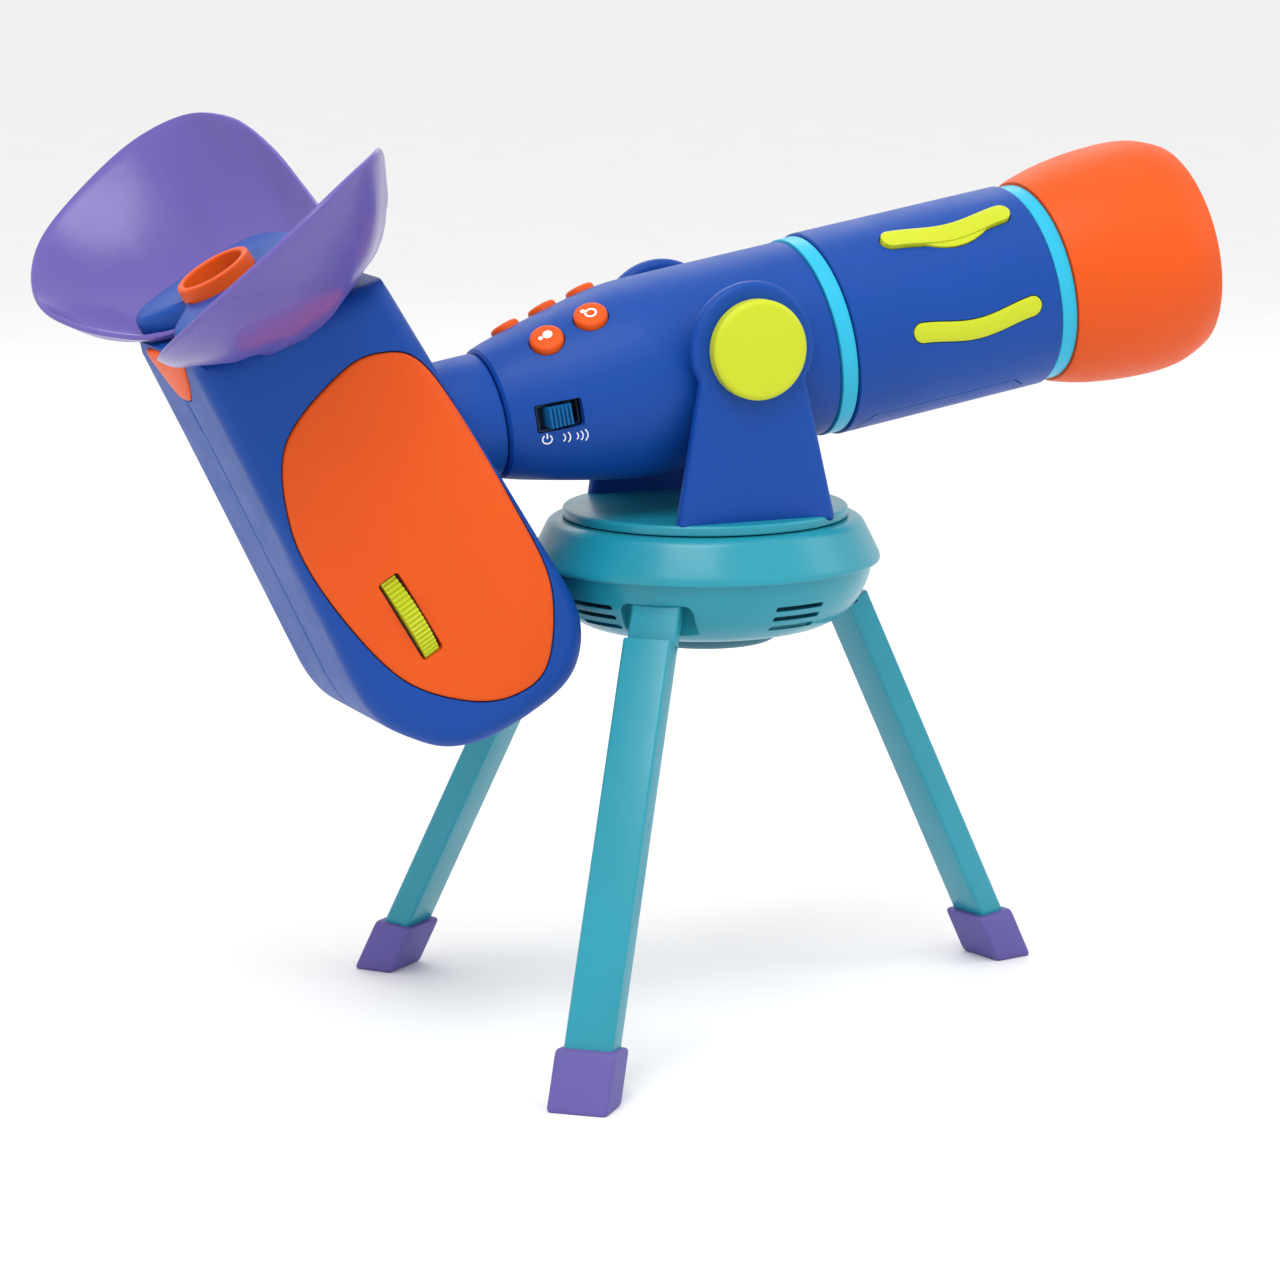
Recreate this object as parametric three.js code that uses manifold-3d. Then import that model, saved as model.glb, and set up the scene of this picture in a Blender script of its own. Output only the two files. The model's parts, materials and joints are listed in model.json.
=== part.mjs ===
// Toy telescope with a hooded eyepiece on a folding tripod.
// Millimetres, +Z up. The optical tube points along +X, tilted nose up.
import * as THREE from "three";
import * as BufferGeometryUtils from "three/addons/utils/BufferGeometryUtils.js";
import Module from "manifold-3d";

const wasm = await Module();
wasm.setup();

// ---- driving dimensions -------------------------------------------------
const GAP = 0.3;
const PIVOT_HEIGHT = 210.3;
const TUBE_TILT = THREE.MathUtils.degToRad(9.77);
const AXIS_DROP = -7.7; // the tube's axis runs this far below the tilt pivot
const VIEWER_TILT = THREE.MathUtils.degToRad(21.43);
const VIEWER_AT = new THREE.Vector3(-108.43, 0, -22.12);

const TUBE_SIDES = 32;
const REAR_TUBE = [
  [-74, 19.5], [-68.4, 21.3], [-56.4, 24.3], [-43.4, 27.3], [-31.4, 29.6], [-24.4, 30.2], [30.1, 30.2],
];
const TUBE_WALL = 2.2;
const NECK_RADIUS = 18.7;
const BARREL_START = 35.5;
const BARREL_END = 105.6;
const BARREL_RADIUS = 31.5;
const BARREL_WALL = 3;
const RING_RADIUS = 30.6;
const HOOD = [
  [111.1, 32.2], [120.5, 34.4], [130.5, 36], [143.5, 36.9], [151, 36.4], [159, 34], [161.2, 32.6],
];
const HOOD_WALL = 2.6;
const LENS_RADIUS = 29.6;
const LENS_STATION = 121.4;

const BUTTON_RISE = 1.8;
const BUTTON_DEPTH = 3.5;
// Places are [station, angle from the top towards -Y in degrees].
const MODE_BUTTONS = { radius: 5.15, places: [[-55.8, 34.5], [-41, 30.5]] };
const ANSWER_BUTTONS = { radius: 4.6, places: [[-59.8, -22], [-46.7, -22], [-33.4, -22]] };

const SWITCH = { station: -59.3, drop: 0.8, length: 14, height: 8.5, face: 23.2 };
const SLIDER = { length: 7.6, height: 6.2, ribs: 6, face: 25.4 };

const DOOR = { start: 39.6, end: 95.6, halfWidth: 19, corner: 4 };
const WAVE = { start: 54.6, end: 98.4, width: 6.2, swing: 1.15, shift: -0.25 };
const SIDE_WAVE_ANGLE = 94;
const TOP_WAVE_ANGLE = 36.5;

const VIEWER_HALF_WIDTH = 31;
const VIEWER_WALL = 2.6;
const VIEWER_SIDE_WALL = 4.5;
const VIEWER_EDGE = 7;
const VIEWER_TOP = { height: 66, slope: -0.198 };
const INSERT_DEPTH = 2.1;
const INSERT_RISE = 1.6;
const EYE = { x: -10, hole: 9.6, ring: 11.75, plateTop: 80.5, ringTop: 85 };
const WHEEL = { x: -21, y: -10.2, z: -26, radius: 25, width: 5, ribs: 26, roller: 6.5 };

const ARM = { inner: 32, outer: 37, bottom: 158.8, halfFoot: 26, halfNeck: 17, neckHeight: 201 };
const ARM_HEAD = { radius: 20, dip: 20 };
const KNOB = { radius: 15, inner: 37.3, outer: 42, shaft: 3, tip: 24 };
const SHAFT_HOLE = 3.1;
const BOSS_RADIUS = 14;
const BOSS_FACE = 31.5;

const DISC_TOP = 158.5;
const DISC_RADIUS = 43.8;
const EQUATOR_RADIUS = 53.5;
const EQUATOR_HEIGHT = 142.5;
const HUB_RADIUS = 12;
const BOWL_TOP = 141.5;
const CAP_RADIUS = 23;

const LEG_AZIMUTHS = [-131.4, 128.6, 11.9];
const LEG_SPLAY = THREE.MathUtils.degToRad(26.7);
const LEG_HINGE = { radius: 47.5, height: 136.4 };
const LEG_WIDTH = 15;
const LEG_DEPTH = 8.4;
const LEG_HUB_LENGTH = 22;
const RECESS_WIDTH = 22.8;
const PIN_RADIUS = 1.8;
const PIN_HOLE = 1.9;
const FOOT = { width: 18.5, depth: 12.5, height: 16, rise: 0.8, sole: 2.4 };
const VENT_AZIMUTHS = [-77.6, -159, 70.2];
const VENT = { heights: [127, 130.2, 133.4], halfLength: 8.7, halfHeight: 0.8 };

// ---- materials ----------------------------------------------------------
function plastic(color, roughness) {
  return new THREE.MeshStandardMaterial({ color, roughness, metalness: 0 });
}

const BLUE = plastic(0x0a4aad, 0.5);
const ORANGE = plastic(0xf46a1f, 0.45);
const PURPLE = plastic(0x7a5cc0, 0.25);
const TEAL = plastic(0x1fa6b4, 0.35);
const AQUA = plastic(0x45c4d4, 0.4);
const LIME = plastic(0xc3d92a, 0.4);
const DARK = plastic(0x16283f, 0.6);
const GREY = plastic(0x5c6a70, 0.6);
const FOOT_RUBBER = plastic(0x5b45a0, 0.6);
const SLIDER_BLUE = plastic(0x1d6f9f, 0.4);
const STEEL = new THREE.MeshStandardMaterial({ color: 0xb9bdc2, roughness: 0.3, metalness: 1 });
const GLASS = new THREE.MeshStandardMaterial({ color: 0xdfeef5, roughness: 0.05, metalness: 0 });
const MIRROR = new THREE.MeshStandardMaterial({ color: 0xe8eaee, roughness: 0.05, metalness: 1 });

// ---- scene graph --------------------------------------------------------
const root = new THREE.Group();
const tube = new THREE.Group();
tube.position.set(0, 0, PIVOT_HEIGHT);
tube.rotation.y = -TUBE_TILT;
root.add(tube);
const viewer = new THREE.Group();
viewer.position.copy(VIEWER_AT);
viewer.rotation.y = -VIEWER_TILT;
tube.add(viewer);

function addPiece(parent, name, geometry, material) {
  const mesh = new THREE.Mesh(geometry, material);
  mesh.name = name;
  parent.add(mesh);
  return mesh;
}

// ---- geometry helpers ---------------------------------------------------
function solid(geometry) {
  const bare = geometry.index ? geometry.toNonIndexed() : geometry.clone();
  bare.deleteAttribute("normal");
  bare.deleteAttribute("uv");
  const merged = BufferGeometryUtils.mergeVertices(bare, 1e-4);
  const vertProperties = new Float32Array(merged.attributes.position.array);
  const triVerts = new Uint32Array(merged.index.array);
  return new wasm.Manifold(new wasm.Mesh({ numProp: 3, vertProperties, triVerts }));
}

function geometryOf(body) {
  const mesh = body.getMesh();
  const geometry = new THREE.BufferGeometry();
  geometry.setAttribute("position", new THREE.BufferAttribute(new Float32Array(mesh.vertProperties), 3));
  geometry.setIndex(new THREE.BufferAttribute(new Uint32Array(mesh.triVerts), 1));
  geometry.computeVertexNormals();
  return geometry;
}

// A solid of revolution about +Z from [height, radius] pairs that start and end on the axis.
function turned(profile, sides = TUBE_SIDES) {
  const points = profile.map(([height, radius]) => new THREE.Vector2(radius, height));
  return new THREE.LatheGeometry(points, sides).rotateX(Math.PI / 2);
}

// A turned ring: outer and inner profiles, both listed from low to high.
function turnedRing(outer, inner, sides = TUBE_SIDES) {
  const loop = [...outer, ...inner.slice().reverse()];
  return turned([...loop, loop[0]], sides);
}

function alongX(geometry) {
  return geometry.rotateY(Math.PI / 2);
}

function alongY(geometry) {
  return geometry.rotateX(-Math.PI / 2);
}

function rod(radius, low, high, sides = 16) {
  return turned([[low, 0], [low, radius], [high, radius], [high, 0]], sides);
}

function box(low, high) {
  const size = high.map((value, i) => value - low[i]);
  const middle = high.map((value, i) => (value + low[i]) / 2);
  return new THREE.BoxGeometry(...size).translate(...middle);
}

// An outline of [x, z] pairs pushed through from y = low to y = high.
function sidePlate(outline, low, high, edge = 0, steps = 3) {
  const shape = new THREE.Shape(outline.map(([x, z]) => new THREE.Vector2(x, z)));
  const bevel = edge > 0
    ? { bevelEnabled: true, bevelThickness: edge, bevelSize: edge, bevelOffset: -edge, bevelSegments: steps }
    : { bevelEnabled: false };
  const geometry = new THREE.ExtrudeGeometry(shape, { depth: high - low - 2 * edge, ...bevel });
  return geometry.translate(0, 0, edge - high).rotateX(Math.PI / 2);
}

// An outline of [x, y] pairs pushed up from z = low to z = high.
function topPlate(outline, low, high) {
  const shape = new THREE.Shape(outline.map(([x, y]) => new THREE.Vector2(x, y)));
  return new THREE.ExtrudeGeometry(shape, { depth: high - low, bevelEnabled: false }).translate(0, 0, low);
}

function smoothLoop(points, count) {
  const curve = new THREE.CatmullRomCurve3(points.map(([a, b]) => new THREE.Vector3(a, b, 0)), true);
  return curve.getPoints(count).slice(0, count).map((p) => [p.x, p.y]);
}

function mirrored(half) {
  const inner = half.filter(([, y]) => y > 0);
  return [...half, ...inner.reverse().map(([x, y]) => [x, -y])];
}

// ---- optical tube -------------------------------------------------------
function ontoTubeAxis(geometry) {
  return alongX(geometry).translate(0, 0, AXIS_DROP);
}

function tubeRadius(station) {
  const next = REAR_TUBE.findIndex(([s]) => s > station);
  const [s0, r0] = REAR_TUBE[next - 1];
  const [s1, r1] = REAR_TUBE[next];
  const part = (station - s0) / (s1 - s0);
  return { radius: r0 + part * (r1 - r0), taper: Math.atan2(r1 - r0, s1 - s0) };
}

// The place of a point on the tube's skin, angle degrees from the top towards -Y:
// local +Z is the skin's outward normal.
function skinFrame(station, angle) {
  const { radius, taper } = tubeRadius(station);
  return new THREE.Matrix4()
    .makeTranslation(station, 0, AXIS_DROP)
    .multiply(new THREE.Matrix4().makeRotationX(THREE.MathUtils.degToRad(angle)))
    .multiply(new THREE.Matrix4().makeTranslation(0, 0, radius))
    .multiply(new THREE.Matrix4().makeRotationY(-taper));
}

function buttonPlaces() {
  const buttons = [];
  const rows = [["mode_button", MODE_BUTTONS], ["answer_button", ANSWER_BUTTONS]];
  for (const [name, { radius, places }] of rows) {
    places.forEach(([station, angle], i) => {
      buttons.push({ name: `${name}_${i + 1}`, radius, frame: skinFrame(station, angle) });
    });
  }
  return buttons;
}

function pivotBoss(side) {
  const boss = alongY(rod(BOSS_RADIUS, 21, BOSS_FACE, 24));
  return side > 0 ? boss : boss.rotateZ(Math.PI);
}

function buildRearTube() {
  const inner = REAR_TUBE.map(([s, r]) => [s, r - TUBE_WALL]);
  let body = solid(ontoTubeAxis(turnedRing(REAR_TUBE, inner)));
  for (const side of [1, -1]) {
    body = body.add(solid(pivotBoss(side)));
  }
  body = body.subtract(solid(alongY(rod(SHAFT_HOLE, -40, 40))));
  for (const { radius, frame } of buttonPlaces()) {
    body = body.subtract(solid(rod(radius + GAP, -8, 8, 12).applyMatrix4(frame)));
  }
  const half = SWITCH.length / 2;
  const middle = AXIS_DROP - SWITCH.drop;
  const pocket = box(
    [SWITCH.station - half, -30, middle - SWITCH.height / 2],
    [SWITCH.station + half, -10, middle + SWITCH.height / 2],
  );
  body = body.subtract(solid(pocket));
  addPiece(tube, "rear_tube", geometryOf(body), BLUE);
}

function buildButtons() {
  const edge = 0.9;
  for (const { name, radius, frame } of buttonPlaces()) {
    const cap = turned([
      [-BUTTON_DEPTH, 0], [-BUTTON_DEPTH, radius], [BUTTON_RISE - edge, radius],
      [BUTTON_RISE - edge / 3, radius - edge / 2], [BUTTON_RISE, radius - edge * 1.4], [BUTTON_RISE, 0],
    ], 12);
    addPiece(tube, name, cap.applyMatrix4(frame), ORANGE);
  }
  const board = box([-66, -13, AXIS_DROP + 8], [-33, 13, AXIS_DROP + 9.6]);
  addPiece(tube, "button_board", board, GREY);
}

function buildSwitch() {
  const middle = AXIS_DROP - SWITCH.drop;
  const half = SWITCH.length / 2 - GAP;
  const tall = SWITCH.height / 2 - GAP;
  const rim = 0.6;
  const floor = 18.6;
  const frame = box(
    [SWITCH.station - half, -SWITCH.face + 0.8, middle - tall],
    [SWITCH.station + half, -floor + 1.2, middle + tall],
  );
  const well = box(
    [SWITCH.station - half + rim, -30, middle - tall + rim],
    [SWITCH.station + half - rim, -floor, middle + tall - rim],
  );
  addPiece(tube, "switch_bezel", geometryOf(solid(frame).subtract(solid(well))), DARK);

  const pitch = SLIDER.length / SLIDER.ribs;
  const low = SWITCH.station - SLIDER.length / 2;
  let slider = solid(box(
    [low, -SLIDER.face + 1, middle - SLIDER.height / 2],
    [low + SLIDER.length, -floor - GAP, middle + SLIDER.height / 2],
  ));
  for (let i = 0; i < SLIDER.ribs; i += 1) {
    const rib = box(
      [low + pitch * i + 0.15, -SLIDER.face, middle - SLIDER.height / 2],
      [low + pitch * i + pitch - 0.45, -SLIDER.face + 1.5, middle + SLIDER.height / 2],
    );
    slider = slider.add(solid(rib));
  }
  addPiece(tube, "power_switch", geometryOf(slider), SLIDER_BLUE);
}

function buildRings() {
  const rings = [["ring_rear", REAR_TUBE.at(-1)[0], BARREL_START], ["ring_front", BARREL_END, HOOD[0][0]]];
  for (const [name, from, to] of rings) {
    const low = from + GAP;
    const high = to - GAP;
    const ring = turnedRing([[low, RING_RADIUS], [high, RING_RADIUS]], [[low, 26], [high, 26]]);
    addPiece(tube, name, ontoTubeAxis(ring), AQUA);
  }
}

// Outline of the wavy strip, centred on its own length: [along, across] pairs.
function waveOutline(grow) {
  const steps = 14;
  const half = (WAVE.end - WAVE.start) / 2 - WAVE.width / 2;
  const reach = WAVE.width / 2 + grow;
  const wave = (t) => WAVE.swing * Math.cos(t * Math.PI * 2) + WAVE.shift;
  const upper = [];
  const lower = [];
  for (let i = 0; i <= steps; i += 1) {
    const t = i / steps;
    upper.push([-half + 2 * half * t, wave(t) + reach]);
    lower.push([-half + 2 * half * t, wave(t) - reach]);
  }
  const cap = (x, y, from) => [1, 2, 3].map((k) => {
    const turn = from - (k * Math.PI) / 4;
    return [x + reach * Math.cos(turn), y + reach * Math.sin(turn)];
  });
  return [
    ...lower,
    ...cap(half, wave(1), Math.PI / 2).reverse(),
    ...upper.reverse(),
    ...cap(-half, wave(0), -Math.PI / 2).reverse(),
  ];
}

// The wavy strip wrapped on the barrel at an angle from the top, between two radii.
function waveStrip(angle, innerRadius, outerRadius, grow) {
  const strip = topPlate(waveOutline(grow), innerRadius, outerRadius);
  const places = strip.attributes.position;
  const middle = (WAVE.start + WAVE.end) / 2;
  for (let i = 0; i < places.count; i += 1) {
    const turn = places.getY(i) / BARREL_RADIUS + THREE.MathUtils.degToRad(angle);
    const radius = places.getZ(i);
    places.setXYZ(i, places.getX(i) + middle, Math.sin(turn) * radius, Math.cos(turn) * radius + AXIS_DROP);
  }
  return strip;
}

function doorOutline(grow) {
  const { start, end, halfWidth, corner } = DOOR;
  const wide = halfWidth + grow;
  return [
    [start - grow, -wide + corner], [start - grow + corner, -wide], [end + grow - corner, -wide],
    [end + grow, -wide + corner], [end + grow, wide - corner], [end + grow - corner, wide],
    [start - grow + corner, wide], [start - grow, wide - corner],
  ];
}

function buildBarrel() {
  const skin = [[BARREL_START, BARREL_RADIUS], [BARREL_END, BARREL_RADIUS]];
  const bore = skin.map(([s, r]) => [s, r - BARREL_WALL]);
  const shell = solid(ontoTubeAxis(turnedRing(skin, bore)));
  const doorway = solid(topPlate(doorOutline(GAP), AXIS_DROP - 40, AXIS_DROP - 15));
  const doorBlock = solid(topPlate(doorOutline(0), AXIS_DROP - 40, AXIS_DROP - 15));
  let barrel = shell.subtract(doorway);
  for (const angle of [SIDE_WAVE_ANGLE, -SIDE_WAVE_ANGLE]) {
    barrel = barrel.subtract(solid(waveStrip(angle, BARREL_RADIUS - 1.6, BARREL_RADIUS + 3, GAP)));
  }
  barrel = barrel.subtract(solid(waveStrip(-TOP_WAVE_ANGLE, BARREL_RADIUS - 6, BARREL_RADIUS + 3, GAP)));
  addPiece(tube, "front_barrel", geometryOf(barrel), BLUE);
  addPiece(tube, "battery_door", geometryOf(shell.intersect(doorBlock)), BLUE);
  const inlays = [["wave_inlay_right", -SIDE_WAVE_ANGLE], ["wave_inlay_left", SIDE_WAVE_ANGLE]];
  for (const [name, angle] of inlays) {
    const strip = waveStrip(angle, BARREL_RADIUS - 1.3, BARREL_RADIUS + 0.5, 0);
    addPiece(tube, name, strip, LIME);
  }
  const tab = waveStrip(-TOP_WAVE_ANGLE, BARREL_RADIUS - 5, BARREL_RADIUS + 1.6, 0);
  addPiece(tube, "image_tab", tab, LIME);
}

function buildBatteries() {
  const radius = 5.25;
  const pitch = 11.2;
  const low = 45.5;
  const length = 44.5;
  const height = AXIS_DROP - 19.2;
  for (let i = 0; i < 3; i += 1) {
    const cell = rod(radius, low, low + length, 12);
    addPiece(tube, `battery_${i + 1}`, alongX(cell).translate(0, (i - 1) * pitch, height), STEEL);
  }
  const wall = 1.6;
  const halfWide = pitch * 1.5 + 0.6;
  const spare = 3.6;
  const tray = solid(box(
    [low - spare, -halfWide - wall, height - 1.4],
    [low + length + spare, halfWide + wall, height + 7.4],
  ));
  const well = box([low - 2, -halfWide, height - 10], [low + length + 2, halfWide, height + 5.8]);
  addPiece(tube, "battery_tray", geometryOf(tray.subtract(solid(well))), DARK);
}

function buildPictures() {
  const station = 94;
  const hub = 2.5;
  const frame = turned([
    [station, 0], [station, 25], [station + 1.6, 25], [station + 1.6, hub],
    [station + 6, hub], [station + 6, 0],
  ], 24);
  const window = alongX(rod(7, station - 4, station + 8, 12)).translate(0, 0, AXIS_DROP + 13);
  addPiece(tube, "picture_frame", geometryOf(solid(ontoTubeAxis(frame)).subtract(solid(window))), DARK);
  const low = station + 1.6 + GAP;
  const disc = turnedRing([[low, 22], [low + 1.4, 22]], [[low, hub + 0.1], [low + 1.4, hub + 0.1]], 24);
  addPiece(tube, "picture_disc", ontoTubeAxis(disc), GREY);
}

function buildHood() {
  const bore = HOOD.map(([s, r]) => [s, r - HOOD_WALL]).filter(([s]) => s > LENS_STATION + 8);
  const seat = 26.4;
  const socket = LENS_RADIUS + GAP;
  const inner = [[HOOD[0][0], seat], [LENS_STATION - GAP, seat], [LENS_STATION - GAP, socket], ...bore];
  const bell = solid(ontoTubeAxis(turnedRing(HOOD, inner)));
  for (const [side, sign] of [["left", 1], ["right", -1]]) {
    const half = box([100, GAP / 2, -60], [180, 60, 60]);
    const keep = sign > 0 ? half : half.rotateX(Math.PI);
    addPiece(tube, `hood_${side}`, geometryOf(bell.intersect(solid(keep))), ORANGE);
  }
  const bulge = 1.6;
  const edge = 2;
  const lens = turned([
    [LENS_STATION, 0], [LENS_STATION, LENS_RADIUS], [LENS_STATION + edge, LENS_RADIUS],
    [LENS_STATION + edge + bulge * 0.75, LENS_RADIUS / 2], [LENS_STATION + edge + bulge, 0],
  ], 24);
  addPiece(tube, "objective_lens", ontoTubeAxis(lens), GLASS);
  const from = LENS_STATION + edge + 1.2;
  const to = from + 2.4;
  const ring = turnedRing([[from, LENS_RADIUS], [to, LENS_RADIUS]], [[from, seat], [to, seat]], 24);
  addPiece(tube, "lens_retainer", ontoTubeAxis(ring), DARK);
}

// ---- viewer -------------------------------------------------------------
function topLine(x) {
  return VIEWER_TOP.height + VIEWER_TOP.slope * x;
}

// Side view of the viewer: a leaning box with a rounded, hooked lower end.
function viewerProfile() {
  return [
    [25.5, topLine(25.5)], [-35.4, topLine(-35.4)], [-37.5, 47], [-38.8, 32], [-42.6, -9], [-45.4, -41],
    [-44.5, -49], [-41, -56], [-34, -66], [-27.5, -71], [-20, -73.6], [-9, -75], [6, -75], [14, -72.4],
    [20, -67], [24, -60], [25.5, -52],
  ].reverse();
}

function insetProfile(outline, inset) {
  const middle = [-8, -2];
  return outline.map(([x, z]) => {
    const away = Math.hypot(x - middle[0], z - middle[1]);
    const keep = 1 - (inset * 1.25) / away;
    return [middle[0] + (x - middle[0]) * keep, middle[1] + (z - middle[1]) * keep];
  });
}

function insertOutline(grow) {
  const points = [
    [0, 46], [13.6, 43], [21.5, 34], [23.8, 15], [23.4, -16.5], [20, -44], [7, -63], [-6, -65.4],
    [-20, -57.5],
    [-33, -39], [-38.4, -8], [-36.4, 18], [-25, 38],
  ];
  const loop = smoothLoop(points, 32).reverse();
  return insetProfile(loop, -grow / 1.25);
}

function tubePath() {
  const bore = alongX(rod(16.2, -40, 40, 24));
  return bore.rotateY(VIEWER_TILT).translate(24.3, 0, 5.96);
}

function wheelWell() {
  const slack = 1;
  const reach = WHEEL.radius + slack;
  const low = WHEEL.x - WHEEL.width / 2 - slack;
  const high = WHEEL.x + WHEEL.width / 2 + slack;
  return alongX(rod(reach, low, high, 32)).translate(0, WHEEL.y, WHEEL.z);
}

function buildViewerShell() {
  const outer = solid(sidePlate(viewerProfile(), -VIEWER_HALF_WIDTH, VIEWER_HALF_WIDTH, VIEWER_EDGE, 3));
  const inside = VIEWER_HALF_WIDTH - VIEWER_SIDE_WALL;
  const inset = insetProfile(viewerProfile(), VIEWER_WALL);
  const cavity = solid(sidePlate(inset, -inside, inside, VIEWER_EDGE - 2, 2));
  const face = VIEWER_HALF_WIDTH - INSERT_DEPTH;
  const eyeHole = rod(EYE.hole, 40, 90, 20).translate(EYE.x, 0, 0);
  let shell = outer.subtract(cavity).subtract(solid(tubePath())).subtract(solid(eyeHole));
  shell = shell.subtract(solid(wheelWell()));
  shell = shell.subtract(solid(sidePlate(insertOutline(GAP), face, 40)));
  shell = shell.subtract(solid(sidePlate(insertOutline(GAP), -40, -face)));
  shell = shell.subtract(solid(nosePadBlock(GAP)));
  for (const [name, side] of [["viewer_shell_left", 1], ["viewer_shell_right", -1]]) {
    const half = side > 0 ? box([-90, 0.1, -90], [90, 60, 100]) : box([-90, -60, -90], [90, -0.1, 100]);
    addPiece(viewer, name, geometryOf(shell.intersect(solid(half))), BLUE);
  }
}

function buildInserts() {
  const deep = VIEWER_HALF_WIDTH - INSERT_DEPTH + GAP;
  const high = VIEWER_HALF_WIDTH + INSERT_RISE;
  for (const [name, side] of [["viewer_insert_left", 1], ["viewer_insert_right", -1]]) {
    const low = side > 0 ? deep : -high - 4;
    const top = side > 0 ? high + 4 : -deep;
    const dome = solid(sidePlate(insertOutline(0), Math.min(low, top), Math.max(low, top), 1.5, 2));
    const slab = side > 0 ? box([-90, deep, -90], [90, high, 90]) : box([-90, -high, -90], [90, -deep, 90]);
    let insert = dome.intersect(solid(slab));
    insert = side < 0 ? insert.subtract(solid(wheelWell())) : insert;
    addPiece(viewer, name, geometryOf(insert), ORANGE);
  }
}

// A shield-shaped cushion let into the rear face below the nose notch.
function nosePadBlock(grow) {
  const wide = 18 + grow;
  const top = 70.5 + grow;
  const tip = 57 - grow;
  const side = 66.5 - grow * 1.5;
  const nib = 3 + grow;
  const outline = [[-wide, top], [1 - wide, side], [-nib, tip], [nib, tip], [wide - 1, side], [wide, top]];
  const shape = new THREE.Shape(outline.map(([y, z]) => new THREE.Vector2(y, z)));
  const plate = new THREE.ExtrudeGeometry(shape, { depth: 4 + grow, bevelEnabled: false });
  plate.rotateX(Math.PI / 2).rotateZ(Math.PI / 2);
  return plate.translate(-38.6, 0, 0);
}

function buildNosePad() {
  addPiece(viewer, "nose_pad", geometryOf(solid(nosePadBlock(0))), ORANGE);
}

// Outline of the bean-shaped eyepiece plate, [x, y], with a notch for the nose at the rear.
function beanOutline(grow) {
  const half = [
    [-23, 0], [-29, 9], [-33.6, 18], [-30, 27], [-18, 30.4], [0, 30], [11, 24.5], [16, 12], [17, 0],
  ];
  return smoothLoop(mirrored(half), 24).map(([x, y]) => {
    const away = Math.hypot(x + 8, y);
    return [x + (grow * (x + 8)) / away, y + (grow * y) / away];
  }).reverse();
}

function buildEyepiece() {
  const under = solid(box([-80, -60, -60], [80, 60, 0]).rotateY(Math.atan(-VIEWER_TOP.slope))
    .translate(0, 0, VIEWER_TOP.height + GAP));
  const block = solid(topPlate(beanOutline(0), 40, EYE.plateTop));
  const hollow = solid(topPlate(beanOutline(-2.4), 30, EYE.plateTop - 2.6));
  const eyeHole = solid(rod(EYE.hole, 40, 100, 20).translate(EYE.x, 0, 0));
  const plate = block.subtract(hollow).subtract(under).subtract(eyeHole);
  addPiece(viewer, "eyepiece_plate", geometryOf(plate), BLUE);
  const low = EYE.plateTop + GAP;
  const rim = turnedRing(
    [[low, EYE.ring], [EYE.ringTop, EYE.ring - 0.2]],
    [[low, EYE.hole + 0.2], [EYE.ringTop, EYE.hole]], 24,
  );
  addPiece(viewer, "eyepiece_ring", rim.translate(EYE.x, 0, 0), ORANGE);
  const lens = turned([[76.6, 0], [77, 5], [78, 9.2], [79, 9.2], [80, 5], [80.4, 0]], 20);
  addPiece(viewer, "eyepiece_lens", lens.translate(EYE.x, 0, 0), GLASS);
}

// Height of the body's rounded top at [x, y].
function shoulderHeight(x, y) {
  const over = Math.min(Math.max(Math.abs(y) - (VIEWER_HALF_WIDTH - VIEWER_EDGE), 0), VIEWER_EDGE);
  return topLine(x) - VIEWER_EDGE + Math.sqrt(VIEWER_EDGE ** 2 - over ** 2);
}

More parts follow.
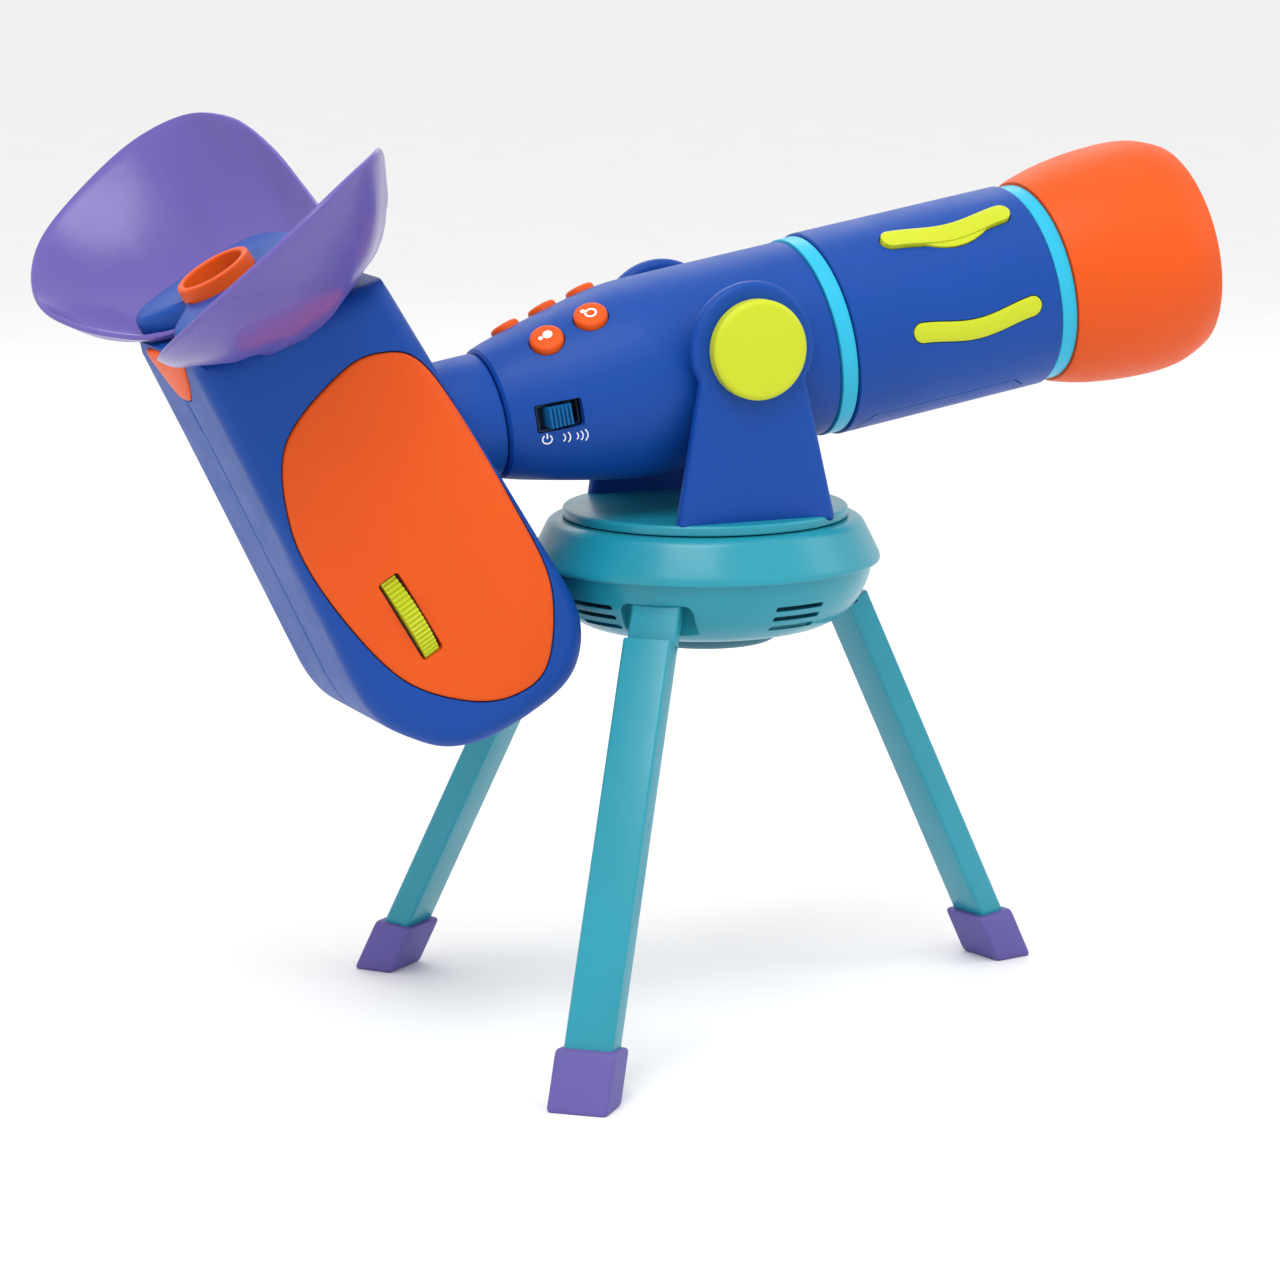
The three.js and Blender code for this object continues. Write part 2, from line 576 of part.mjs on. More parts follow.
// The eye shade: a winged bowl round the eyepiece, open at the nose.
function buildEyeShade() {
  const rimHalf = [
    [-25.4, 0, 73.7], [-32.6, 8.5, 74.8], [-38, 17, 76.5], [-45.2, 38.5, 81.9], [-47.9, 59.5, 87.8],
    [-42.7, 76, 93.5], [-31.1, 88.5, 98.9], [-12.4, 94.5, 103.1], [9.9, 94, 106.7], [26.9, 84, 106.5],
    [34.5, 66, 102], [36.2, 50, 92], [35, 36, 80], [32.5, 20, 73], [30, 0, 70.6],
  ];
  const inner = rimHalf.filter(([, y]) => y > 0).reverse().map(([x, y, z]) => [x, -y, z]);
  const rim = new THREE.CatmullRomCurve3([...rimHalf, ...inner].map((p) => new THREE.Vector3(...p)), true);
  const columns = 36;
  const rows = 4;
  const thick = 1.7;
  const foot = beanOutline(0.5).reverse();
  const footCurve = new THREE.CatmullRomCurve3(foot.map(([x, y]) => new THREE.Vector3(x, y, 0)), true);
  const sag = { nose: 3.4, wing: 8 };
  const halfSpan = 94.5;
  const point = (i, j, out) => {
    const u = (i % columns) / columns;
    const t = j / rows;
    const top = rim.getPoint(u);
    const low = footCurve.getPoint(u);
    low.z = shoulderHeight(low.x, low.y) + 0.6;
    const p = low.clone().lerp(top, t);
    const away = new THREE.Vector3(p.x + 8, p.y, 0).normalize();
    const height = Math.min((top.z - low.z) / 30, 1);
    const bulge = THREE.MathUtils.lerp(sag.nose, sag.wing, Math.abs(top.y) / halfSpan);
    const swell = Math.sin(t * Math.PI) * bulge * height;
    p.z -= swell;
    p.addScaledVector(away, swell / 2 + out);
    return p;
  };
  const positions = [];
  const push = (a, b, c) => positions.push(...a.toArray(), ...b.toArray(), ...c.toArray());
  const quad = (a, b, c, d) => {
    push(a, b, c);
    push(a, c, d);
  };
  for (let i = 0; i < columns; i += 1) {
    for (let j = 0; j < rows; j += 1) {
      quad(point(i, j, thick), point(i, j + 1, thick), point(i + 1, j + 1, thick), point(i + 1, j, thick));
      quad(point(i, j, 0), point(i + 1, j, 0), point(i + 1, j + 1, 0), point(i, j + 1, 0));
    }
    quad(point(i, 0, thick), point(i + 1, 0, thick), point(i + 1, 0, 0), point(i, 0, 0));
    quad(point(i, rows, 0), point(i + 1, rows, 0), point(i + 1, rows, thick), point(i, rows, thick));
  }
  const geometry = new THREE.BufferGeometry();
  geometry.setAttribute("position", new THREE.Float32BufferAttribute(positions, 3));
  addPiece(viewer, "eye_shade", BufferGeometryUtils.mergeVertices(geometry, 1e-4), PURPLE);
}

function buildFocus() {
  const steps = WHEEL.ribs * 2;
  const outline = [];
  for (let i = 0; i < steps; i += 1) {
    const radius = WHEEL.radius - (i % 2) * 0.9;
    const turn = (i / steps) * Math.PI * 2;
    outline.push([radius * Math.cos(turn), radius * Math.sin(turn)]);
  }
  const half = WHEEL.width / 2;
  const disc = solid(topPlate(outline, -half, half));
  const axle = solid(rod(2, -13, 9, 12));
  const roller = solid(rod(WHEEL.roller, -10.5, -4.5, 24));
  const wheel = geometryOf(disc.add(axle).add(roller));
  addPiece(viewer, "focus_wheel", alongX(wheel).translate(WHEEL.x, WHEEL.y, WHEEL.z), LIME);

  const barX = [WHEEL.x - 10, WHEEL.x - 6];
  const barY = [WHEEL.y + WHEEL.roller + GAP, WHEEL.y + WHEEL.roller + GAP + 3];
  const ring = solid(turnedRing([[44, 12.5], [50, 12.5]], [[44, 8.5], [50, 8.5]], 20).translate(EYE.x, 0, 0));
  const bar = solid(box([barX[0], barY[0], -42], [barX[1], barY[1], 50]));
  const arm = solid(box([barX[0], barY[0], 44], [EYE.x - 10.5, barY[1], 50]));
  addPiece(viewer, "lens_carriage", geometryOf(ring.add(bar).add(arm)), DARK);

  const mirror = box([-13, -12, -0.8], [13, 12, 0.8]);
  const lean = Math.atan2(0.826, 0.563);
  addPiece(viewer, "fold_mirror", mirror.rotateY(lean).translate(EYE.x, 0, 19.4), MIRROR);
}

function buildNeck() {
  const from = -100;
  const to = REAR_TUBE[0][0] - 0.4;
  const bore = NECK_RADIUS - TUBE_WALL;
  const sleeve = turnedRing([[from, NECK_RADIUS], [to, NECK_RADIUS]], [[from, bore], [to, bore]]);
  const pipe = solid(ontoTubeAxis(sleeve));
  const behind = box([-90, -60, -120], [25.5 + GAP, 60, 120]).rotateY(-VIEWER_TILT).translate(...VIEWER_AT);
  addPiece(tube, "neck_collar", geometryOf(pipe.subtract(solid(behind))), BLUE);
}

// ---- fork and base ------------------------------------------------------
// A round head that dips past its widest point, on a neck that widens to the foot.
function armOutline() {
  const steps = 16;
  const dip = THREE.MathUtils.degToRad(ARM_HEAD.dip);
  const arc = [];
  for (let i = 0; i <= steps; i += 1) {
    const turn = ((Math.PI + 2 * dip) * i) / steps - dip;
    arc.push([ARM_HEAD.radius * Math.cos(turn), PIVOT_HEIGHT + ARM_HEAD.radius * Math.sin(turn)]);
  }
  return [
    [-ARM.halfFoot + 1.3, ARM.bottom], [ARM.halfFoot + 1.3, ARM.bottom], [ARM.halfNeck, ARM.neckHeight],
    ...arc, [-ARM.halfNeck, ARM.neckHeight],
  ];
}

function buildFork() {
  const hole = solid(alongY(rod(SHAFT_HOLE, -60, 60)).translate(0, 0, PIVOT_HEIGHT));
  for (const [side, sign] of [["left", 1], ["right", -1]]) {
    const low = sign > 0 ? ARM.inner : -ARM.outer;
    const plate = sidePlate(armOutline(), low, low + ARM.outer - ARM.inner, 0.7, 1);
    addPiece(root, `fork_arm_${side}`, geometryOf(solid(plate).subtract(hole)), BLUE);
    const knob = turned([
      [KNOB.tip, 0], [KNOB.tip, KNOB.shaft], [KNOB.inner, KNOB.shaft], [KNOB.inner, KNOB.radius],
      [KNOB.outer - 1.2, KNOB.radius], [KNOB.outer - 0.3, KNOB.radius - 0.6], [KNOB.outer, KNOB.radius - 1.6],
      [KNOB.outer, 0],
    ], 24);
    const turn = alongY(knob);
    const placed = sign > 0 ? turn : turn.rotateZ(Math.PI);
    addPiece(root, `tilt_knob_${side}`, placed.translate(0, 0, PIVOT_HEIGHT), LIME);
  }
}

function buildTurntable() {
  const low = 155.4;
  const table = turnedRing(
    [
      [140, HUB_RADIUS], [low, HUB_RADIUS], [low, DISC_RADIUS], [DISC_TOP - 0.6, DISC_RADIUS],
      [DISC_TOP, DISC_RADIUS - 0.6],
    ],
    [[140, 5], [DISC_TOP, 5]],
  );
  addPiece(root, "turntable", table, TEAL);
  const keeper = turned([[136.6, 0], [136.6, 16], [138.4, 16], [138.4, 4.6], [150, 4.6], [150, 0]], 24);
  addPiece(root, "spindle_keeper", keeper, STEEL);
}

function buildBaseShell() {
  const top = 155.1;
  const low = EQUATOR_HEIGHT - 0.7;
  const bore = HUB_RADIUS + GAP + 0.1;
  const shell = turnedRing(
    [[139, bore], [139, 15], [152.2, 15], [152.4, 46], [low, EQUATOR_RADIUS - 2.2], [low, EQUATOR_RADIUS]],
    [[139, bore], [top, bore], [top, 45.4], [153.6, 48.3], [EQUATOR_HEIGHT, EQUATOR_RADIUS]],
  );
  addPiece(root, "base_shell", shell, TEAL);
}

function radial(geometry, azimuth) {
  return geometry.rotateZ(THREE.MathUtils.degToRad(azimuth));
}

const BOWL = [
  [121.5, 23.4], [121.5, 29], [123.2, 38.7], [127.2, 44.2], [132, 47.8], [137, 50], [BOWL_TOP, 51],
];

function buildBowl() {
  const skin = turned([[BOWL[0][0], 0], ...BOWL, [BOWL_TOP, 0]]);
  const inner = [[123.7, CAP_RADIUS + 0.4], [123.7, 29], [126.4, 37.4], [133, 45], [BOWL_TOP, 48.6]];
  let bowl = solid(turnedRing(BOWL, inner));
  for (const azimuth of LEG_AZIMUTHS) {
    const half = RECESS_WIDTH / 2 + 2.4;
    const block = radial(box([38, -half, 118], [60, half, BOWL_TOP]), azimuth);
    bowl = bowl.add(solid(skin).intersect(solid(block)));
  }
  for (const azimuth of LEG_AZIMUTHS) {
    const recess = radial(box([41, -RECESS_WIDTH / 2, 110], [70, RECESS_WIDTH / 2, 150]), azimuth);
    const pinHole = alongY(rod(PIN_HOLE, -40, 40, 12)).translate(LEG_HINGE.radius, 0, LEG_HINGE.height);
    bowl = bowl.subtract(solid(recess)).subtract(solid(radial(pinHole, azimuth)));
  }
  for (const azimuth of VENT_AZIMUTHS) {
    for (const height of VENT.heights) {
      const { halfLength, halfHeight } = VENT;
      const vent = box([34, -halfLength, height - halfHeight], [60, halfLength, height + halfHeight]);
      bowl = bowl.subtract(solid(radial(vent, azimuth)));
    }
  }
  addPiece(root, "base_bowl", geometryOf(bowl), TEAL);
  const cap = turned([[117, 0], [117, 20], [118.2, 22.6], [121.2, CAP_RADIUS], [121.2, 0]], 24);
  addPiece(root, "bottom_cap", cap, GREY);
  const speaker = turned([[124, 0], [124, 26], [125.6, 26], [130, 16], [135, 16], [135, 0]], 24);
  addPiece(root, "speaker", speaker, DARK);
}

// ---- legs ---------------------------------------------------------------
// Leg frame: local origin at the hinge, +X outward, the leg hanging along its splay.
function legProfile(halfDepth, from, to) {
  const along = [Math.sin(LEG_SPLAY), -Math.cos(LEG_SPLAY)];
  const across = [Math.cos(LEG_SPLAY), Math.sin(LEG_SPLAY)];
  const corner = (distance, offset) => [
    LEG_HINGE.radius + along[0] * distance + across[0] * offset,
    LEG_HINGE.height + along[1] * distance + across[1] * offset,
  ];
  return [corner(from, -halfDepth), corner(to, -halfDepth), corner(to, halfDepth), corner(from, halfDepth)];
}

function footOutline() {
  const lean = Math.tan(LEG_SPLAY);
  const middle = LEG_HINGE.radius + LEG_HINGE.height * lean;
  const half = FOOT.depth / 2 / Math.cos(LEG_SPLAY);
  const low = FOOT.height - FOOT.rise;
  const high = FOOT.height + FOOT.rise;
  return [
    [middle - half, 0], [middle + half, 0],
    [middle + half - high * lean, high], [middle - half - low * lean, low],
  ];
}

function buildLegs() {
  const length = LEG_HINGE.height / Math.cos(LEG_SPLAY);
  const tip = length - (FOOT.sole + GAP + 2.6) / Math.cos(LEG_SPLAY);
  const pinBore = solid(alongY(rod(PIN_HOLE, -40, 40, 12)).translate(LEG_HINGE.radius, 0, LEG_HINGE.height));
  LEG_AZIMUTHS.forEach((azimuth, i) => {
    const bar = solid(sidePlate(legProfile(LEG_DEPTH / 2, 0, tip), -LEG_WIDTH / 2, LEG_WIDTH / 2));
    const hub = alongY(rod(LEG_DEPTH / 2, -LEG_HUB_LENGTH / 2, LEG_HUB_LENGTH / 2, 12));
    hub.translate(LEG_HINGE.radius, 0, LEG_HINGE.height);
    const leg = geometryOf(bar.add(solid(hub)).subtract(pinBore));
    addPiece(root, `leg_${i + 1}`, radial(leg, azimuth), TEAL);

    const boot = solid(sidePlate(footOutline(), -FOOT.width / 2, FOOT.width / 2));
    const socket = legProfile(LEG_DEPTH / 2 + GAP, 0, tip + GAP);
    const hole = solid(sidePlate(socket, -LEG_WIDTH / 2 - GAP, LEG_WIDTH / 2 + GAP));
    addPiece(root, `foot_${i + 1}`, radial(geometryOf(boot.subtract(hole)), azimuth), FOOT_RUBBER);

    const reach = RECESS_WIDTH / 2 + 2;
    const pin = alongY(rod(PIN_RADIUS, -reach, reach, 12)).translate(LEG_HINGE.radius, 0, LEG_HINGE.height);
    addPiece(root, `leg_pin_${i + 1}`, radial(pin, azimuth), STEEL);
  });
}

buildRearTube();
buildButtons();
buildSwitch();
buildRings();
buildBarrel();
buildBatteries();
buildPictures();
buildHood();
buildNeck();
buildViewerShell();
buildInserts();
buildNosePad();
buildEyepiece();
buildEyeShade();
buildFocus();
buildFork();
buildTurntable();
buildBaseShell();
buildBowl();
buildLegs();

root.updateMatrixWorld(true);
const bounds = new THREE.Box3().setFromObject(root, true);
const centre = bounds.getCenter(new THREE.Vector3());
root.position.set(-centre.x, -centre.y, -bounds.min.z);
root.updateMatrixWorld(true);

export default root;
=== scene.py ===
# Toy telescope on a folding tripod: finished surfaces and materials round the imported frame.
import json
from math import cos, hypot, pi, radians, sin, sqrt

import bmesh
import bpy
import numpy as np
from mathutils import Matrix, Vector


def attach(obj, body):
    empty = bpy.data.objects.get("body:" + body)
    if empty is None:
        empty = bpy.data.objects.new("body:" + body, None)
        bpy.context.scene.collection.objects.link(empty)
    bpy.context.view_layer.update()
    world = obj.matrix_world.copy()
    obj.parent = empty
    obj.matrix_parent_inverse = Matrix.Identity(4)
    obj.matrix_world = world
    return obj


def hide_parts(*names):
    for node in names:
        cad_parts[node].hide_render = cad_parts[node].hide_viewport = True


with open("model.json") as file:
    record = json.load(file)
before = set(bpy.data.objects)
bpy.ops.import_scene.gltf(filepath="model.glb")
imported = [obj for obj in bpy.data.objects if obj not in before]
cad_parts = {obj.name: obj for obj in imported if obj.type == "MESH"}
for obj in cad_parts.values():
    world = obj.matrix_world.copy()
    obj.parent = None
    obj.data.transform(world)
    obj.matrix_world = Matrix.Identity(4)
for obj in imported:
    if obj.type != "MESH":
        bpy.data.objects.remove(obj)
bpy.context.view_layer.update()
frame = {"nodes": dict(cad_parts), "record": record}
MM = 0.001
JOINTS = {joint["name"]: joint for joint in frame["record"]["behaviour"]["joints"]}

# ---- local frames, in millimetres ---------------------------------------
def frame_from(origin, x_axis, z_axis):
    """Local millimetres to row metres, from an origin in metres and two axes."""
    x_axis = Vector(x_axis).normalized()
    z_axis = Vector(z_axis).normalized()
    y_axis = z_axis.cross(x_axis)
    turn = Matrix((x_axis, y_axis, z_axis)).transposed().to_4x4()
    return Matrix.Translation(origin) @ turn @ Matrix.Scale(MM, 4)


def local(matrix, x, y, z):
    """A frame moved by local millimetres."""
    return matrix @ Matrix.Translation((x, y, z))


pivot = Vector(JOINTS["tilt"]["pos_m"])
swivel = Vector(JOINTS["swivel"]["pos_m"])
tube_x = Vector(JOINTS["power_slide"]["axis"])
tube_up = Vector(JOINTS["door_lift"]["axis"])
BASE = frame_from(Vector((swivel.x, swivel.y, 0)), (1, 0, 0), (0, 0, 1))
PIVOT = frame_from(pivot, (1, 0, 0), (0, 0, 1))
AXIS_DROP = 7.7
TUBE = local(frame_from(pivot, tube_x, tube_up), 0, 0, -AXIS_DROP)
WHEEL_AT = (-21, -10.2, -26)  # the focus wheel's centre in the viewer's frame
viewer_x = Vector(JOINTS["focus_turn"]["axis"])
viewer_z = Vector(JOINTS["lens_slide"]["axis"])
wheel = frame_from(Vector(JOINTS["focus_turn"]["pos_m"]), viewer_x, viewer_z)
VIEWER = local(wheel, *[-c for c in WHEEL_AT])
ALONG = Matrix.Rotation(pi / 2, 4, "Y")  # turns local +Z onto local +X


# ---- materials -----------------------------------------------------------
MOTTLE_SCALE = 22
GLOSS_SCALE = 70
PATCH_SCALE = 160
GRAIN_HEIGHT = 0.0004
COAT_ROUGHNESS = 0.12
SUBSURFACE_RADIUS = (0.002, 0.001, 0.0006)
EDGE_START = 0.53
EDGE_END = 0.6


def noise(tree, scale, detail=3.0, rough=0.5):
    """Noise in the piece's own coordinates."""
    coords = tree.nodes.new("ShaderNodeTexCoord")
    texture = tree.nodes.new("ShaderNodeTexNoise")
    texture.inputs["Scale"].default_value = scale
    texture.inputs["Detail"].default_value = detail
    texture.inputs["Roughness"].default_value = rough
    tree.links.new(coords.outputs["Object"], texture.inputs["Vector"])
    return texture.outputs["Fac"]


def ramp(tree, value, low, high, start=0.3, end=0.7):
    """Maps start..end of a value to low..high."""
    node = tree.nodes.new("ShaderNodeMapRange")
    node.inputs["From Min"].default_value = start
    node.inputs["From Max"].default_value = end
    node.inputs["To Min"].default_value = low
    node.inputs["To Max"].default_value = high
    tree.links.new(value, node.inputs["Value"])
    return node.outputs["Result"]


def plastic(name, color, rough=0.42, grain=2600, depth=0.02, spread=0.05, wear=0.06, coat=0.0,
            subsurface=0.0, shine=0.2):
    """Moulded plastic: faint mottling, spark-eroded grain, uneven gloss and edges rubbed paler."""
    material = bpy.data.materials.new(name)
    material.use_nodes = True
    tree = material.node_tree
    shader = tree.nodes["Principled BSDF"]
    shader.inputs["Specular IOR Level"].default_value = shine
    shader.inputs["Coat Weight"].default_value = coat
    shader.inputs["Coat Roughness"].default_value = COAT_ROUGHNESS
    shader.inputs["Subsurface Weight"].default_value = subsurface
    shader.inputs["Subsurface Radius"].default_value = SUBSURFACE_RADIUS
    shader.inputs["Subsurface Scale"].default_value = 1.0
    mottle = ramp(tree, noise(tree, MOTTLE_SCALE, 4), 1 - spread, 1 + spread)
    tint = tree.nodes.new("ShaderNodeHueSaturation")
    tint.inputs["Color"].default_value = (*color, 1)
    tree.links.new(mottle, tint.inputs["Value"])
    pale = tree.nodes.new("ShaderNodeMix")
    pale.data_type = "RGBA"
    pale.inputs["B"].default_value = (*[min(1, c * 1.25 + 0.06) for c in color], 1)
    tree.links.new(tint.outputs["Color"], pale.inputs["A"])
    geometry = tree.nodes.new("ShaderNodeNewGeometry")
    edge = ramp(tree, geometry.outputs["Pointiness"], 0, wear, EDGE_START, EDGE_END)
    patch = ramp(tree, noise(tree, PATCH_SCALE, 5, 0.7), 0, 1, 0.42, 0.62)
    rub = tree.nodes.new("ShaderNodeMath")
    rub.operation = "MULTIPLY"
    tree.links.new(edge, rub.inputs[0])
    tree.links.new(patch, rub.inputs[1])
    tree.links.new(rub.outputs["Value"], pale.inputs["Factor"])
    tree.links.new(pale.outputs["Result"], shader.inputs["Base Color"])
    gloss = ramp(tree, noise(tree, GLOSS_SCALE, 5, 0.6), rough - 0.04, rough + 0.06)
    tree.links.new(gloss, shader.inputs["Roughness"])
    bump = tree.nodes.new("ShaderNodeBump")
    bump.inputs["Strength"].default_value = depth
    bump.inputs["Distance"].default_value = GRAIN_HEIGHT
    tree.links.new(noise(tree, grain, 2, 0.6), bump.inputs["Height"])
    tree.links.new(bump.outputs["Normal"], shader.inputs["Normal"])
    return material


def metal(name, color, rough):
    """Drawn steel: fine scratches in the gloss."""
    material = plastic(name, color, rough, grain=900, depth=0.05, wear=0)
    material.node_tree.nodes["Principled BSDF"].inputs["Metallic"].default_value = 1.0
    return material


def glass(name):
    """Clear moulded lens with a faint haze."""
    material = bpy.data.materials.new(name)
    material.use_nodes = True
    tree = material.node_tree
    shader = tree.nodes["Principled BSDF"]
    shader.inputs["Base Color"].default_value = (0.92, 0.97, 0.98, 1)
    shader.inputs["Transmission Weight"].default_value = 0.9
    shader.inputs["IOR"].default_value = 1.49
    haze = ramp(tree, noise(tree, 60, 4), 0.02, 0.07)
    tree.links.new(haze, shader.inputs["Roughness"])
    return material


LOOKS = {
    "blue_shell": plastic("blue_shell", (0.0028, 0.054, 0.3), 0.44, depth=0.22),
    "orange_shell": plastic("orange_shell", (0.68, 0.08, 0.004), 0.46, depth=0.22, subsurface=0.03),
    "purple_gloss": plastic("purple_gloss", (0.115, 0.082, 0.33), 0.27, depth=0.05, coat=0.08, shine=0.3),
    "teal_shell": plastic("teal_shell", (0.012, 0.25, 0.33), 0.3, depth=0.08, coat=0.1, shine=0.35),
    "aqua_trim": plastic("aqua_trim", (0.025, 0.42, 0.62), 0.35, depth=0.08),
    "lime_trim": plastic("lime_trim", (0.5, 0.56, 0.02), 0.4, depth=0.15),
    "dark_inner": plastic("dark_inner", (0.006, 0.018, 0.045), 0.5, depth=0.1),
    "grey_inner": plastic("grey_inner", (0.045, 0.15, 0.2), 0.5, depth=0.1),
    "foot_rubber": plastic("foot_rubber", (0.11, 0.09, 0.31), 0.5, grain=1800, depth=0.25),
    "switch_blue": plastic("switch_blue", (0.006, 0.11, 0.3), 0.3, depth=0.05),
    "steel": metal("steel", (0.6, 0.61, 0.62), 0.3),
    "glass": glass("glass"),
    "mirror": metal("mirror", (0.86, 0.87, 0.9), 0.05),
}
SIGN_WHITE = plastic("icon_white", (0.85, 0.86, 0.87), 0.5, depth=0.05)
FLOOR_WHITE = plastic("floor_white", (0.86, 0.86, 0.86), 0.75, grain=400, depth=0.02, spread=0.01, wear=0)

for subpart in frame["record"]["subparts"]:
    node = frame["nodes"][subpart["node"]]
    node.data.materials.clear()
    node.data.materials.append(LOOKS[subpart["material_slot"]])


# ---- mesh helpers --------------------------------------------------------
def finish_mesh(piece, sharp=32):
    """Merges doubled points, turns faces outward and smooths all but the sharp edges."""
    work = bmesh.new()
    work.from_mesh(piece.data)
    bmesh.ops.remove_doubles(work, verts=work.verts, dist=2e-6)
    bmesh.ops.dissolve_degenerate(work, edges=work.edges, dist=1e-6)
    bmesh.ops.recalc_face_normals(work, faces=work.faces)
    for face in work.faces:
        face.smooth = True
    for edge in work.edges:
        edge.smooth = not (edge.is_manifold and edge.calc_face_angle(0) > radians(sharp))
    work.to_mesh(piece.data)
    work.free()


def add_mesh(name, points, faces, matrix):
    """An object whose points are local millimetres, placed in the row frame."""
    mesh = bpy.data.meshes.new(name)
    mesh.from_pydata([matrix @ Vector(p) for p in points], [], faces)
    piece = bpy.data.objects.new(name, mesh)
    bpy.context.scene.collection.objects.link(piece)
    finish_mesh(piece)
    return piece


def apply_modifiers(piece):
    """Makes a piece's modifiers part of its mesh."""
    bpy.context.view_layer.update()
    evaluated = piece.evaluated_get(bpy.context.evaluated_depsgraph_get())
    mesh = bpy.data.meshes.new_from_object(evaluated)
    piece.modifiers.clear()
    piece.data = mesh
    finish_mesh(piece)


def combine(piece, operation, other):
    """Cuts a piece by another or keeps what they share, and removes the other."""
    modifier = piece.modifiers.new("combine", "BOOLEAN")
    modifier.operation = operation
    modifier.solver = "EXACT"
    modifier.object = other
    apply_modifiers(piece)
    bpy.data.objects.remove(other)


def cut(piece, *cutters):
    for cutter in cutters:
        combine(piece, "DIFFERENCE", cutter)
    return piece


def soften(piece, width, segments=3, angle=40):
    """Rounds the edges sharper than an angle, width in millimetres."""
    modifier = piece.modifiers.new("edge", "BEVEL")
    modifier.width = width * MM
    modifier.segments = segments
    modifier.limit_method = "ANGLE"
    modifier.angle_limit = radians(angle)
    modifier.use_clamp_overlap = True
    apply_modifiers(piece)
    return piece


def dress(piece, body, slot, *nodes, look=None):
    """Gives a piece its material, its body and the CAD nodes that it stands for."""
    piece.data.materials.clear()
    piece.data.materials.append(look or LOOKS[slot])
    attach(piece, body)
    if nodes:
        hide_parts(*nodes)
    return piece


def rounded(corners, steps=5):
    """A path from (a, b, radius) corners, with an arc at each corner that has a radius."""
    path = []
    count = len(corners)
    for i, (a, b, radius) in enumerate(corners):
        here = Vector((a, b))
        if radius == 0 or i in (0, count - 1):
            path.append((a, b))
            continue
        before = Vector(corners[i - 1][:2])
        after = Vector(corners[i + 1][:2])
        reach_in = min(radius, (before - here).length * 0.49)
        reach_out = min(radius, (after - here).length * 0.49)
        start = here + (before - here).normalized() * reach_in
        end = here + (after - here).normalized() * reach_out
        for k in range(steps + 1):
            t = k / steps
            point = start * (1 - t) ** 2 + here * (2 * t * (1 - t)) + end * t ** 2
            path.append((point.x, point.y))
    return path


def resample(path, step):
    """Adds points so that no stretch of the path is longer than step."""
    points = [path[0]]
    for (a0, b0), (a1, b1) in zip(path, path[1:]):
        parts = max(1, int(hypot(a1 - a0, b1 - b0) / step + 0.5))
        points += [(a0 + (a1 - a0) * k / parts, b0 + (b1 - b0) * k / parts) for k in range(1, parts + 1)]
    return points


def turned(name, path, matrix, sides=96, closed=False):
    """A solid of revolution about local +Z from (height, radius) points."""
    points = []
    faces = []
    rows = len(path)
    for height, radius in path:
        for i in range(sides):
            turn = 2 * pi * i / sides
            points.append((radius * cos(turn), radius * sin(turn), height))
    for j in range(rows if closed else rows - 1):
        for i in range(sides):
            near = j * sides
            far = (j + 1) % rows * sides
            faces.append((near + i, near + (i + 1) % sides, far + (i + 1) % sides, far + i))
    return add_mesh(name, points, faces, matrix)


def ring_of(name, outer, inner, matrix, sides=96):
    """A turned ring from outer and inner paths, both listed from low to high."""
    return turned(name, outer + inner[::-1], matrix, sides, closed=True)


def prism(name, outline, low, high, matrix):
    """An outline of (x, y) points pushed from z = low to z = high."""
    count = len(outline)
    points = [(x, y, low) for x, y in outline] + [(x, y, high) for x, y in outline]
    faces = [tuple(range(count))[::-1], tuple(range(count, 2 * count))]
    faces += [(i, (i + 1) % count, count + (i + 1) % count, count + i) for i in range(count)]
    return add_mesh(name, points, faces, matrix)


def catmull_rom(p0, p1, p2, p3, t):
    """The point a share t of the way from p1 to p2 on a smooth curve through all four."""
    return 0.5 * (2 * p1 + (p2 - p0) * t + (2 * p0 - 5 * p1 + 4 * p2 - p3) * t ** 2
                  + (3 * p1 - p0 - 3 * p2 + p3) * t ** 3)


def smooth_loop(points, per_span=8):
    """A closed Catmull-Rom loop through points of any dimension."""
    knots = np.array(points, float)
    count = len(knots)
    loop = []
    for i in range(count):
        corners = [knots[(i + k) % count] for k in (-1, 0, 1, 2)]
        loop += [catmull_rom(*corners, k / per_span) for k in range(per_span)]
    return np.array(loop)


def spline_path(points, per_span=6):
    """An open Catmull-Rom path through (a, b) points."""
    before = np.array(points[0]) * 2 - np.array(points[1])
    after = np.array(points[-1]) * 2 - np.array(points[-2])
    knots = np.array([before, *points, after], float)
    path = []
    for i in range(1, len(knots) - 2):
        corners = knots[i - 1:i + 3]
        path += [tuple(catmull_rom(*corners, k / per_span)) for k in range(per_span)]
    return path + [tuple(points[-1])]


def even_loop(loop, count):
    """The same closed loop with evenly spaced points."""
    closed = np.vstack([loop, loop[:1]])
    run = np.concatenate([[0], np.cumsum(np.linalg.norm(np.diff(closed, axis=0), axis=1))])
    places = np.linspace(0, run[-1], count, endpoint=False)
    return np.stack([np.interp(places, run, closed[:, k]) for k in range(closed.shape[1])], axis=1)


def polar_radii(loop, centre, turns):
    """Distance from the centre to a star-shaped loop, at each turn."""
    offset = loop - np.array(centre)
    angles = np.unwrap(np.arctan2(offset[:, 1], offset[:, 0]))
    radii = np.linalg.norm(offset, axis=1)
    if angles[-1] < angles[0]:
        angles, radii = angles[::-1], radii[::-1]
    order = np.argsort(angles % (2 * pi))
    return np.interp(turns, (angles % (2 * pi))[order], radii[order], period=2 * pi)


